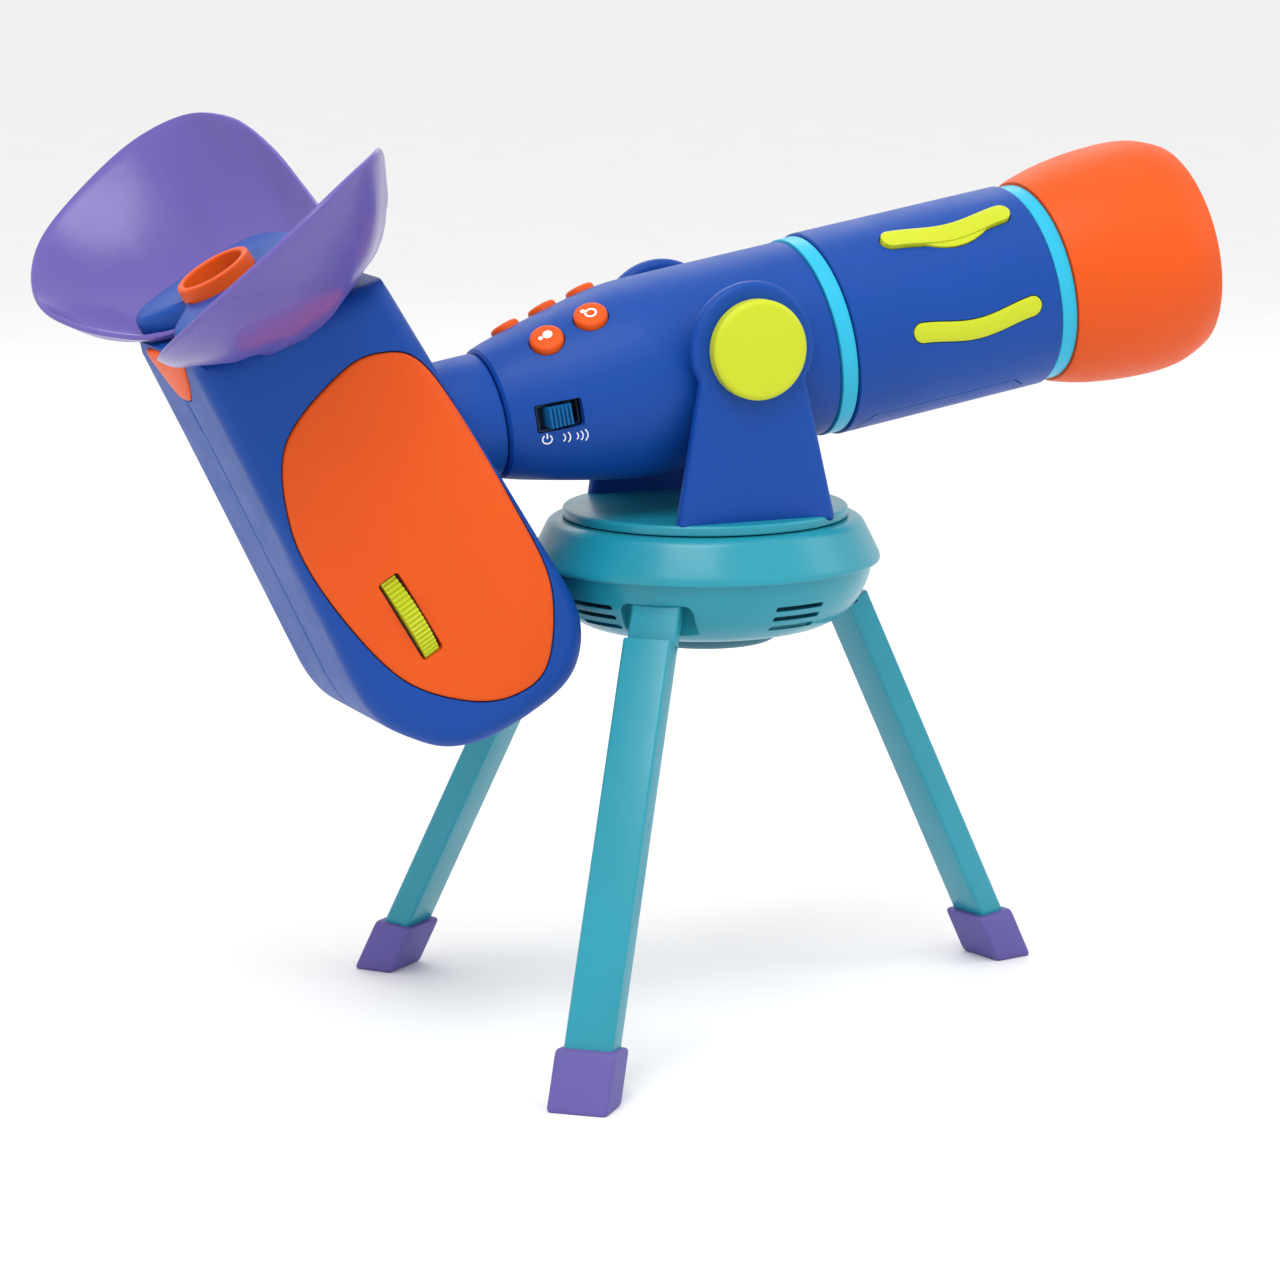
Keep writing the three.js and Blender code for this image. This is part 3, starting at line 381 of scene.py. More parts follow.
def grid_faces(rows, columns, wrap=True):
    """Four-sided faces between rows of points."""
    faces = []
    for j in range(rows - 1):
        for i in range(columns if wrap else columns - 1):
            k = (i + 1) % columns
            near = j * columns
            far = near + columns
            faces.append((near + i, near + k, far + k, far + i))
    return faces


def lofted(name, rings, matrix, closed=False):
    """A skin over rings of points, capped at both ends or closed from the last ring to the first."""
    rows = len(rings)
    count = len(rings[0])
    points = [point for ring in rings for point in ring]
    faces = grid_faces(rows, count)
    last = (rows - 1) * count
    if closed:
        faces += [(i, (i + 1) % count, last + (i + 1) % count, last + i) for i in range(count)]
    else:
        faces += [tuple(range(count)), tuple(range(last, rows * count))]
    return add_mesh(name, points, faces, matrix)


# ---- optical tube --------------------------------------------------------
# turned outlines along the tube are (station, radius), with the tilt pivot at station 0
REAR_TUBE = [(-74, 19.5), (-68.4, 21.3), (-56.4, 24.3), (-43.4, 27.3), (-37.4, 28.5), (-31.4, 29.5),
             (-24.4, 30.1), (-10, 30.2), (30.1, 30.2)]
REAR_BORE = [(-74, 17.3), (-43, 25), (-24, 27.8), (30.1, 27.8)]
BARREL = (35.7, 105.4, 31.5)
BARREL_WALL = 3
HOOD = [(111.2, 32.0), (120.5, 34.5), (130.5, 36.1), (140, 36.8), (147.5, 36.8), (153.5, 36), (158.2, 34.4),
        (160.8, 33.2)]


def tube_skin(station):
    stations, radii = zip(*REAR_TUBE)
    radius = float(np.interp(station, stations, radii))
    ahead = float(np.interp(station + 2, stations, radii))
    return radius, (ahead - radius) / 2


def on_skin(station, angle):
    """A frame on the tube's skin, angle degrees from the top towards -Y: local +Z points out."""
    radius, slope = tube_skin(station)
    turn = Matrix.Rotation(radians(angle), 4, "X")
    lean = Matrix.Rotation(-np.arctan(slope), 4, "Y")
    return TUBE @ Matrix.Translation((station, 0, 0)) @ turn @ Matrix.Translation((0, 0, radius)) @ lean


# station, angle in degrees from the top towards -Y, radius
BUTTONS = {
    "mode_button_1": (-55.8, 34.5, 5.15),
    "mode_button_2": (-41, 30.5, 5.15),
    "answer_button_1": (-59.8, -22, 4.6),
    "answer_button_2": (-46.7, -22, 4.6),
    "answer_button_3": (-33.4, -22, 4.6),
}
BUTTON_FACE = 1.79
BUTTON_CLEARANCE = 0.35
# height above the tube's skin, distance in from the button's rim
BUTTON_CROWN = [(0.6, 0), (1.15, 0.12), (1.5, 0.4), (1.74, 0.85), (1.84, 1.6), (1.8, 2.8)]
SWITCH_AT = (-59.3, -0.8)
SWITCH_SIZE = (14, 8.5)


def rounded_box_outline(length, width, radius, steps=6):
    """A rectangle with round corners, centred on the origin."""
    outline = []
    for corner, (sx, sy) in enumerate([(1, 1), (-1, 1), (-1, -1), (1, -1)]):
        for k in range(steps + 1):
            turn = pi / 2 * (corner + k / steps)
            outline.append((sx * (length / 2 - radius) + radius * cos(turn),
                            sy * (width / 2 - radius) + radius * sin(turn)))
    return outline


def switch_frame():
    """A frame at the power switch on the near side: local +Z points out."""
    return local(TUBE, SWITCH_AT[0], 0, SWITCH_AT[1]) @ Matrix.Rotation(pi / 2, 4, "X")


def build_rear_tube():
    skin = resample(spline_path(REAR_TUBE), 2.5)
    rear_edge = [(-74, 18.2), (-73.9, 18.9), (-73.4, 19.45)]
    front_edge = [(29.6, 30.15), (30.0, 29.8), (30.1, 29.2)]
    outside = rear_edge + skin[1:-1] + front_edge
    tube = ring_of("rear_tube_shell", outside, REAR_BORE, TUBE @ ALONG, 128)
    holes = []
    for station, angle, radius in BUTTONS.values():
        wide = radius + BUTTON_CLEARANCE
        path = [(-8, 0), (-8, wide), (6, wide), (6, 0)]
        holes.append(turned("hole", path, on_skin(station, angle), 48))
    pocket = rounded_box_outline(*SWITCH_SIZE, 0.9)
    holes.append(prism("pocket", pocket, 12, 32, switch_frame()))
    cut(tube, *holes)
    dress(tube, "tube", "blue_shell", "rear_tube")
    for name, turn in (("left", -pi / 2), ("right", pi / 2)):
        face = PIVOT @ Matrix.Rotation(turn, 4, "X")
        path = rounded([(22, 0, 0), (22, 14, 0), (31.5, 14, 1.2), (31.5, 3.1, 0.3), (22, 3.1, 0)])
        boss = turned(f"pivot_boss_{name}", path[1:], face, 64, closed=True)
        dress(boss, "tube", "blue_shell")


def build_buttons():
    for name, (station, angle, radius) in BUTTONS.items():
        crown = [(height, radius - inset) for height, inset in BUTTON_CROWN]
        path = [(-3.5, 0), (-3.5, radius)] + crown + [(1.76, 0)]
        cap = turned(f"{name}_cap", path, on_skin(station, angle), 64)
        dress(cap, name, "orange_shell", name)
        # a dark disc under each button: painted shade seen through the gap round its cap
        wide = radius + 0.5
        floor = [(-4.2, 0), (-4.2, wide), (-3.8, wide), (-3.8, 0)]
        painted_shade_floor = turned(f"{name}_well", floor, on_skin(station, angle), 32)
        dress(painted_shade_floor, "tube", "dark_inner")
    outline = rounded_box_outline(33, 26, 2)
    board = prism("button_board_slab", outline, 8, 9.6, local(TUBE, -49.5, 0, 0))
    soften(board, 0.3)
    dress(board, "tube", "grey_inner", "button_board")


def ribbon(name, points, width, height, matrix):
    """A thin raised line of constant width along (x, y) points, for printed signs."""
    path = np.array(points, float)
    ahead = np.gradient(path, axis=0)
    side = np.stack([-ahead[:, 1], ahead[:, 0]], axis=1)
    side /= np.linalg.norm(side, axis=1)[:, None]
    left = [tuple(p) for p in path + side * width / 2]
    right = [tuple(p) for p in (path - side * width / 2)[::-1]]
    return prism(name, left + right, -height, height, matrix)


def arc(radius, start, end, centre=(0, 0), steps=20):
    """Points of an arc between two angles in degrees."""
    turns = np.radians(np.linspace(start, end, steps + 1))
    return [(centre[0] + radius * cos(t), centre[1] + radius * sin(t)) for t in turns]


SWITCH_SIGN_ANGLE = 109
# name, station, points, line width
SWITCH_SIGNS = [
    ("power_arc", -63.6, arc(1.45, 125, 415), 0.4),
    ("power_bar", -63.6, [(0, 0.2), (0, 1.9)], 0.4),
    ("low_arc_1", -59.9, arc(1.6, -50, 50), 0.36),
    ("low_arc_2", -59.1, arc(2.3, -45, 45), 0.36),
    ("high_arc_1", -55.9, arc(1.4, -50, 50), 0.36),
    ("high_arc_2", -55.0, arc(1.9, -50, 50), 0.36),
    ("high_arc_3", -54.3, arc(2.6, -45, 45), 0.36),
]


def build_signs():
    """Plain white signs: a ring and a spot, a disc and a spot, a power mark and volume arcs."""
    first = local(on_skin(*BUTTONS["mode_button_1"][:2]), 0, 0, BUTTON_FACE)
    second = local(on_skin(*BUTTONS["mode_button_2"][:2]), 0, 0, BUTTON_FACE)
    disc = prism("sign_disc", arc(1.5, 0, 342, (0.7, 0.5)), -0.1, 0.1, first)
    spot = prism("sign_spot", arc(0.7, 0, 324, (-1.7, 0.1)), -0.1, 0.1, first)
    ring = ribbon("sign_ring", arc(1.6, 150, 498, (0.2, -0.1), 30), 0.62, 0.1, second)
    tail = prism("sign_tail", arc(0.75, 0, 324, (-1.6, 1.7)), -0.1, 0.1, second)
    for sign in (disc, spot):
        dress(sign, "mode_button_1", "orange_shell", look=SIGN_WHITE)
    for sign in (ring, tail):
        dress(sign, "mode_button_2", "orange_shell", look=SIGN_WHITE)
    for name, station, points, width in SWITCH_SIGNS:
        sign = ribbon(f"sign_{name}", points, width, 0.12, on_skin(station, SWITCH_SIGN_ANGLE))
        dress(sign, "tube", "blue_shell", look=SIGN_WHITE)


def build_switch():
    side = switch_frame()
    floor = prism("switch_well", rounded_box_outline(13.6, 8.1, 0.8), 17.4, 18.6, side)
    bezel = prism("switch_rim", rounded_box_outline(13.5, 8.0, 0.8), 18.4, 22.0, side)
    cut(bezel, prism("mouth", rounded_box_outline(12.3, 6.9, 0.5), 18, 30, side))
    soften(bezel, 0.2, 2)
    dress(floor, "tube", "dark_inner", "switch_bezel")
    dress(bezel, "tube", "dark_inner")
    length = 7.6
    height = 6.2
    ribs = 6
    pitch = length / ribs
    outline = [(-length / 2, 19)]
    for i in range(ribs):
        low = -length / 2 + pitch * i
        for k in range(7):
            t = k / 6
            outline.append((low + pitch * (0.08 + 0.84 * t), 24.4 + 1.0 * sin(pi * t) ** 0.6))
        if i < ribs - 1:
            outline.append((low + pitch, 23.9))
    outline.append((length / 2, 19))
    upright = side @ Matrix.Rotation(pi / 2, 4, "X")
    slider = prism("power_slider", outline, -height / 2, height / 2, upright)
    soften(slider, 0.25, 3, 50)
    dress(slider, "power_switch", "switch_blue", "power_switch")


def build_rings():
    for name, low, high in (("ring_rear", 30.3, 35.4), ("ring_front", 105.8, 110.9)):
        outer = rounded([(low, 26, 0), (low, 30.75, 0.35), (high, 30.75, 0.35), (high, 26, 0)])
        ring = turned(f"{name}_band", outer, TUBE @ ALONG, 128, closed=True)
        dress(ring, "tube", "aqua_trim", name)


# the wavy strips: stations of both ends, width, and how far the centreline swings and sits off
WAVE = {"start": 54.6, "end": 98.4, "width": 6.2, "swing": 1.45, "shift": -0.25}
SIDE_ANGLE = 94
TOP_ANGLE = 36.5
DOOR_SPAN = (-40, -12)


def wave_loop(grow, steps=60):
    """Centreline and half-width of the wavy strip, as rows of (along, middle, half)."""
    half = WAVE["width"] / 2 + grow
    low = WAVE["start"] - grow
    high = WAVE["end"] + grow
    rows = []
    for i in range(steps + 1):
        t = 0.5 - 0.5 * cos(pi * i / steps)
        along = low + (high - low) * t
        inset = min(along - low, high - along, half)
        reach = sqrt(max(half ** 2 - (half - inset) ** 2, 0))
        ease = (along - WAVE["start"]) / (WAVE["end"] - WAVE["start"])
        middle = WAVE["swing"] * cos(ease * pi * 2) + WAVE["shift"]
        rows.append((along, middle, reach))
    return rows


def lens_loop(length, width, middle, steps=60):
    """Rows of a pointed oval about the strip's own centre, shifted across by middle."""
    centre = (WAVE["start"] + WAVE["end"]) / 2 + 1
    rows = []
    for i in range(steps + 1):
        place = -cos(pi * i / steps)
        rows.append((centre + place * length / 2, middle, width / 2 * (1 - place ** 2)))
    return rows


def wave_solid(name, angle, inner, outer, grow=0.0, crown=0.0, across=10, loop=None):
    """A strip, wavy unless given its own rows, wrapped round the barrel with its top crowned."""
    points = []
    for side_radius in (inner, outer):
        for along, middle, reach in loop or wave_loop(grow):
            for k in range(across + 1):
                v = -1 + 2 * k / across
                turn = radians(angle) - (middle + reach * v) / BARREL[2]
                rim = min(1.0, reach / (WAVE["width"] / 2))
                lift = crown * (1 - abs(v) ** 5) * rim ** 0.5 if side_radius == outer else 0
                radius = side_radius + lift
                points.append((along, -sin(turn) * radius, cos(turn) * radius))
    rows = 61
    columns = across + 1
    top = grid_faces(rows, columns, wrap=False)
    shift = rows * columns
    faces = [tuple(i + shift for i in face) for face in top] + [face[::-1] for face in top]
    edge = [j * columns for j in range(rows)] + [j * columns + across for j in reversed(range(rows))]
    for a, b in zip(edge, edge[1:] + edge[:1]):
        faces.append((a, b, b + shift, a + shift))
    return add_mesh(name, points, faces, TUBE)


def door_outline(grow):
    """The battery door from below, with its corners cut off."""
    low = 39.6 - grow
    high = 95.6 + grow
    wide = 19 + grow
    corner = 4
    return [(low, -wide + corner), (low + corner, -wide), (high - corner, -wide), (high, -wide + corner),
            (high, wide - corner), (high - corner, wide), (low + corner, wide), (low, wide - corner)]


def build_barrel():
    low, high, radius = BARREL
    skin = resample([(low + 0.5, radius), (high - 0.5, radius)], 1.8)
    rear_edge = [(low, radius - 1), (low + 0.1, radius - 0.4)]
    front_edge = [(high - 0.1, radius - 0.4), (high, radius - 1)]
    bore = [(low, radius - BARREL_WALL), (high, radius - BARREL_WALL)]
    outside = rear_edge + skin + front_edge
    barrel = ring_of("front_barrel_shell", outside, bore, TUBE @ ALONG, 160)
    shell = barrel.copy()
    shell.data = barrel.data.copy()
    bpy.context.scene.collection.objects.link(shell)
    above = radius + 4
    below = radius - 8
    sides = (SIDE_ANGLE, -SIDE_ANGLE)
    strips = [wave_solid("groove", angle, radius - 1.7, above, 0.35) for angle in sides]
    strips.append(wave_solid("slot", TOP_ANGLE, below, above, 0.4))
    strips.append(wave_solid("slot", TOP_ANGLE, below, above, loop=lens_loop(26, 10, -1.9)))
    doorway = prism("doorway", door_outline(0.35), *DOOR_SPAN, TUBE)
    cut(barrel, *strips, doorway)
    dress(barrel, "tube", "blue_shell", "front_barrel")
    keep = prism("door", door_outline(0), *DOOR_SPAN, TUBE)
    combine(shell, "INTERSECT", keep)
    shell.name = "battery_door_panel"
    dress(shell, "battery_door", "blue_shell", "battery_door")
    for name, angle in (("right", SIDE_ANGLE), ("left", -SIDE_ANGLE)):
        strip = wave_solid(f"wave_{name}", angle, radius - 1.6, radius + 0.15, 0, 0.35)
        dress(strip, "tube", "lime_trim", f"wave_inlay_{name}")
    tab = wave_solid("image_tab_strip", TOP_ANGLE, radius - 5, radius + 1.5, 0, 0.35)
    dress(tab, "image_tab", "lime_trim", "image_tab")
    oval = lens_loop(24, 8, -2.6)
    base = wave_solid("image_tab_base", TOP_ANGLE, radius - 4, radius + 0.6, 0, 0.5, loop=oval)
    dress(base, "image_tab", "lime_trim")


HOOD_BORE = [(125, 32.2), (131, 33.6), (140, 34.2), (147, 34.1), (153, 33.4), (158.2, 32.0)]
LENS_RADIUS = 29.6
LENS_SIGHT = 26.4


def build_hood():
    lip = [(161.1, 33.0), (161.35, 32.6), (161.4, 32.1), (161.25, 31.6), (160.9, 31.3)]
    outer = [(111.2, 30), (111.2, 31.6)] + resample(spline_path(HOOD), 1.5)[1:] + lip
    seat = [(111.2, LENS_SIGHT), (121.1, LENS_SIGHT), (121.1, 29.9), (124.9, 29.9)]
    inner = seat + resample(spline_path(HOOD_BORE), 2)
    hood = ring_of("hood_bell", outer, inner, TUBE @ ALONG, 160)
    dress(hood, "tube", "orange_shell", "hood_left", "hood_right")
    reaches = np.linspace(LENS_RADIUS, 0, 14)
    bulge = [(123.4 + 1.6 * (1 - (reach / LENS_RADIUS) ** 2), reach) for reach in reaches]
    path = [(121.4, 0), (121.4, LENS_RADIUS)] + bulge
    lens = turned("objective_glass", path, TUBE @ ALONG, 96)
    dress(lens, "tube", "glass", "objective_lens")
    path = rounded([
        (124.6, LENS_SIGHT, 0), (124.6, LENS_RADIUS, 0.2), (127, LENS_RADIUS, 0.4), (127, LENS_SIGHT, 0.6),
    ])
    ring = turned("objective_keeper", path, TUBE @ ALONG, 96, closed=True)
    dress(ring, "tube", "dark_inner", "lens_retainer")


NECK = {"start": -97, "end": -74.4, "radius": 18.7, "bore": 16.5}


def build_neck():
    start = NECK["start"]
    end = NECK["end"]
    outer = [(station, NECK["radius"]) for station in (start, -90, -84, end - 0.5)]
    outer += [(end - 0.1, 18.45), (end, 18.1)]
    bore = [(start, NECK["bore"]), (end, NECK["bore"])]
    neck = ring_of("neck_sleeve", outer, bore, TUBE @ ALONG, 128)
    dress(neck, "tube", "blue_shell", "neck_collar")


# ---- viewer --------------------------------------------------------------
# side views are (x, z), and the last figure of a corner is its rounding
HALF = 31.0
EDGE = 7.0
BODY = [
    (25.5, 61, 4), (-35.4, 73, 2.5), (-37.5, 47, 12), (-38.8, 32, 12), (-42.6, -9, 20),
    (-45.6, -41, 6), (-44.2, -50, 5), (-41, -56, 5), (-34, -66, 8), (-27.5, -70.6, 6), (-20, -73.4, 6),
    (-9, -75, 6), (6, -75, 7), (14, -72.4, 5), (20, -67, 6), (24, -60, 5), (25.5, -52, 6),
]
INSERT = [
    (0, 46), (13.6, 43.4), (21.3, 35), (23.9, 15), (23.4, -16.5), (20.4, -43), (7.4, -63), (-6, -65.4),
    (-20, -57.5), (-33, -39.5), (-38.4, -9), (-36.4, 17), (-25, 38),
]
CENTRE = (-9.0, -6.0)
TURNS = np.linspace(0, 2 * pi, 240, endpoint=False)
BODY_LOOP = even_loop(np.array(rounded(BODY + [BODY[0]], 6)[:-1]), 420)
INSERT_LOOP = even_loop(smooth_loop(INSERT, 10), 420)
BODY_RADII = polar_radii(BODY_LOOP, CENTRE, TURNS)
INSERT_RADII = polar_radii(INSERT_LOOP, CENTRE, TURNS)
WHEEL_SLOT = (27.5, 7.2)


def spread(radii):
    """Points in the viewer's side view at the given distance from its centre, one for each turn."""
    return np.stack([CENTRE[0] + radii * np.cos(TURNS), CENTRE[1] + radii * np.sin(TURNS)], axis=1)


def depth_inside(points):
    """How far each point lies inside the body's outline."""
    starts = BODY_LOOP
    spans = np.roll(BODY_LOOP, -1, axis=0) - starts
    offset = points[:, None, :] - starts[None]
    part = np.clip((offset * spans).sum(2) / (spans ** 2).sum(1), 0, 1)
    return np.linalg.norm(offset - part[..., None] * spans, axis=2).min(1)


def side_height(points):
    """Half-width of the body at points of its side view, rounded over at the outline."""
    inset = np.minimum(depth_inside(points), EDGE)
    return HALF - EDGE + np.sqrt(EDGE ** 2 - (EDGE - inset) ** 2)


def half_rings(rings, side):
    """Rings of side-view points with their half-widths, as points on one side of the viewer."""
    return [[(x, side * y, z) for (x, z), y in zip(flat, height)] for flat, height in rings]


INSERT_CLEARANCE = 0.35
PAD_CLEARANCE = 0.4


def build_viewer_shell():
    count = len(TURNS)
    pocket = INSERT_RADII + INSERT_CLEARANCE
    for name, side in (("left", 1), ("right", -1)):
        rings = []
        floor = spread(pocket)
        rings.append((floor, np.full(count, HALF - 3.2)))
        rings.append((floor, side_height(floor) - 0.25))
        for t in np.linspace(0, 1, 18):
            ease = 1 - (1 - t) ** 2
            start = pocket + 0.2
            points = spread(start + (BODY_RADII - start) * ease)
            rings.append((points, side_height(points)))
        edge = spread(BODY_RADII)
        for y in (20, 12, 4, 0.5):
            rings.append((edge, np.full(count, float(y))))
        rings.append((spread(BODY_RADII - 0.5), np.full(count, 0.06)))
        shell = lofted(f"viewer_{name}_shell", half_rings(rings, side), VIEWER)
        cut(shell, pad_solid("hole", PAD_CLEARANCE))
        dress(shell, "tube", "blue_shell", f"viewer_shell_{name}")


INSERT_SHARES = (0.02, 0.12, 0.25, 0.4, 0.55, 0.68, 0.8, 0.88, 0.94, 0.975)
INSERT_EDGE = ((0.9, 0.02), (0.5, 0.12), (0.2, 0.32), (0.03, 0.6), (0, 0.95))  # inset, drop
INSERT_LIFT = 0.35
INSERT_CROWN = 1.5


def build_insert(name, side):
    """A crowned cover with a rounded edge, set into one side of the viewer."""
    rings = []
    for share in INSERT_SHARES:
        points = spread(INSERT_RADII * share)
        crown = INSERT_CROWN * (1 - share ** 2.4)
        rings.append((points, side_height(points) + INSERT_LIFT + crown))
    for inset, drop in INSERT_EDGE:
        points = spread(INSERT_RADII - inset)
        rings.append((points, side_height(points) + INSERT_LIFT - drop + 0.06 * inset))
    rings.append((spread(INSERT_RADII), np.full(len(TURNS), HALF - 4.6)))
    insert = lofted(f"viewer_{name}_insert", half_rings(rings, side), VIEWER)
    if side < 0:
        open_wheel_slot(insert)
    dress(insert, "tube", "orange_shell", f"viewer_insert_{name}")


def open_wheel_slot(insert):
    """Cuts the focus wheel's slot and puts a dark back behind it as painted shade inside the viewer."""
    length, width = WHEEL_SLOT
    upright = local(VIEWER, WHEEL_AT[0], 0, WHEEL_AT[2]) @ Matrix.Rotation(pi / 2, 4, "X")
    outline = [(y, x) for x, y in rounded_box_outline(length, width, 1.2)]
    cut(insert, prism("slot", outline, 20, 50, upright))
    # the dark plate behind the slot is painted shade
    outline = [(y, x) for x, y in rounded_box_outline(length + 2, width + 2, 2)]
    back = prism("painted_shade_bay", outline, 25.5, 26.2, upright)
    dress(back, "tube", "dark_inner")


# one half of the shield on the rear face, as (y, z)
PAD = [(0, 56.8), (5, 57.6), (11, 62.4), (16, 68.2), (17.6, 71.3), (13, 71.6), (0, 71.4)]


PAD_MIDDLE = np.array([0, 66.5])
PAD_CUT = (-6, 2)
# share of the outline, height above the rear face
PAD_RINGS = (
    (0.03, 1.6), (0.3, 1.5), (0.55, 1.3), (0.75, 1.05), (0.88, 0.75), (0.95, 0.5), (0.99, 0.2),
    (1.0, -0.2), (1.0, -2.0),
)


def pad_loop(grow):
    """The shield's outline, grown outwards."""
    whole = PAD + [(-y, z) for y, z in PAD[-2:0:-1]]
    loop = even_loop(smooth_loop(whole, 8), 96)
    offset = loop - PAD_MIDDLE
    return PAD_MIDDLE + offset * (1 + grow / np.linalg.norm(offset, axis=1))[:, None]


def rear_face(z):
    """Distance of the body's rear face behind the local origin at a height."""
    return float(np.interp(z, [47, 73], [-37.5, -35.4]))


def pad_solid(name, grow):
    """The shield outline pushed through the rear face."""
    loop = pad_loop(grow)
    return lofted(name, [[(rear_face(z) + x, y, z) for y, z in loop] for x in PAD_CUT], VIEWER)


def build_nose_pad():
    rings = []
    outline = pad_loop(0)
    for share, lift in PAD_RINGS:
        loop = PAD_MIDDLE + (outline - PAD_MIDDLE) * share
        rings.append([(rear_face(z) - lift, y, z) for y, z in loop])
    pad = lofted("nose_pad_cushion", rings, VIEWER)
    dress(pad, "tube", "orange_shell", "nose_pad")


EYE_X = -10.0
# one half of the bean-shaped eyepiece plate, as (x, y)
BEAN = [(-23, 0), (-29, 9), (-33.6, 18), (-30, 27), (-18, 30.4), (0, 30), (11, 24.5), (16, 12), (17, 0)]


def whole_bean():
    return BEAN + [(x, -y) for x, y in BEAN[-2:0:-1]]


def bean_loop(count):
    return even_loop(smooth_loop(whole_bean(), 10), count)


def body_top(x, y):
    """Height of the body's rounded top."""
    over = min(max(abs(y) - (HALF - EDGE), 0), EDGE)
    return 66 - 0.198 * x - EDGE + sqrt(EDGE ** 2 - over ** 2)


PLATE_TOP = 80.5
PLATE_EDGE = 3
EYE_BORE = 9.7
EYE_RIM = 12.1


def build_plate():
    """The bean-shaped plate that the eyepiece stands in."""
    count = 160
    turns = np.linspace(0, 2 * pi, count, endpoint=False)
    centre = (EYE_X, 0)
    outer = polar_radii(bean_loop(400), centre, turns)
    rim = np.full(count, EYE_RIM)

    def ring(radii, height):
        return [(centre[0] + r * cos(t), r * sin(t), height) for r, t in zip(radii, turns)]

    bore = np.full(count, EYE_BORE)
    rings = [ring(bore, 74.0), ring(bore, PLATE_TOP), ring(rim, PLATE_TOP)]
    for t in (0.2, 0.4, 0.6, 0.8, 0.93):
        rings.append(ring(rim + (outer - PLATE_EDGE - rim) * t, PLATE_TOP + 0.5 * sin(t * pi)))
    for k in range(8):
        turn = pi / 2 * k / 7
        height = PLATE_TOP - PLATE_EDGE + PLATE_EDGE * cos(turn)
        rings.append(ring(outer - PLATE_EDGE + PLATE_EDGE * sin(turn), height))
    rings.append(ring(outer, 75.0))
    rings.append([(x, y, min(body_top(x, y) - 0.4, 74)) for x, y, _ in ring(outer, 0.0)])
    plate = lofted("eyepiece_mask", rings, VIEWER, closed=True)
    dress(plate, "tube", "blue_shell", "eyepiece_plate")
    build_eyepiece()


def build_eyepiece():
    at_eye = local(VIEWER, EYE_X, 0, 0)
    path = rounded([(79.8, 9.7, 0), (79.8, 11.85, 0), (85, 11.7, 0.8), (85, 9.6, 0.8), (79.8, 9.6, 0)])
    rim = turned("eyepiece_rim", path[:-1], at_eye, 96, closed=True)
    dress(rim, "tube", "orange_shell", "eyepiece_ring")
    reach = 9.4
    dome = [(78 + 2.2 * (1 - (r / reach) ** 2), r) for r in np.linspace(reach, 0, 10)]
    lens = turned("eyepiece_glass", [(76.8, 0), (76.8, reach)] + dome, at_eye, 64)
    dress(lens, "tube", "glass", "eyepiece_lens")


# one half of the eye shade's rim, from the nose over the wing to the forehead
SHADE_RIM = [
    (-25.4, 0, 73.7), (-32.6, 8.5, 74.8), (-38, 17, 76.5), (-45.2, 38.5, 81.9), (-47.9, 59.5, 87.8),
    (-42.7, 76, 93.5), (-31.1, 88.5, 98.9), (-12.4, 94.5, 103.1), (9.9, 94, 106.7), (26.9, 84, 106.5),
    (34.5, 66, 102), (36.2, 50, 92), (35, 36, 80), (32.5, 20, 73), (30, 0, 70.6),
]
SHADE_THICKNESS = 1.7
SHADE_SAG = 3.4
SHADE_WING_SAG = 4.6
SHADE_HALF_SPAN = 94.5
SHADE_LIP_STEPS = 4


def shade_face(rim_run, foot_run, rows):
    """The shade's outer face: rows of points from the bean-shaped foot up to the swept rim."""
    face = []
    for j in range(rows + 1):
        share = j / rows
        line = []
        for (rx, ry, rz), (fx, fy) in zip(rim_run, foot_run):
            away = Vector((fx + 8, fy, 0)).normalized()
            low = Vector((fx, fy, 0)) + away * 0.5
            low.z = body_top(low.x, low.y) + 0.5
            point = low.lerp(Vector((rx, ry, rz)), share)
            tall = min((rz - low.z) / 30, 1)
            out = Vector((point.x + 8, point.y, 0)).normalized()
            sag = SHADE_SAG + SHADE_WING_SAG * abs(ry) / SHADE_HALF_SPAN
            swell = sin(share * pi) * tall * sag
            line.append(point + out * swell / 2 - Vector((0, 0, swell)))
        face.append(line)
    return face


def even_run(loop, count):
    """Points of a closed loop at even steps of its own parameter."""
    places = np.linspace(0, len(loop), count, endpoint=False)
    closed = np.vstack([loop, loop[:1]])
    knots = np.arange(len(closed))
    return np.stack([np.interp(places, knots, closed[:, k]) for k in range(loop.shape[1])], axis=1)


def surface_normals(grid):
    """Unit normals of a closed band of points, facing its inside."""
    rows = len(grid)
    columns = len(grid[0])
    normals = []
    for j in range(rows):
        line = []
        for i in range(columns):
            along = grid[j][(i + 1) % columns] - grid[j][i - 1]
            up = grid[min(j + 1, rows - 1)][i] - grid[max(j - 1, 0)][i]
            normal = along.cross(up).normalized()
            inward = Vector((-8, 0, grid[j][i].z + 25)) - grid[j][i]
            line.append(normal if normal.dot(inward) > 0 else -normal)
        normals.append(line)
    return normals


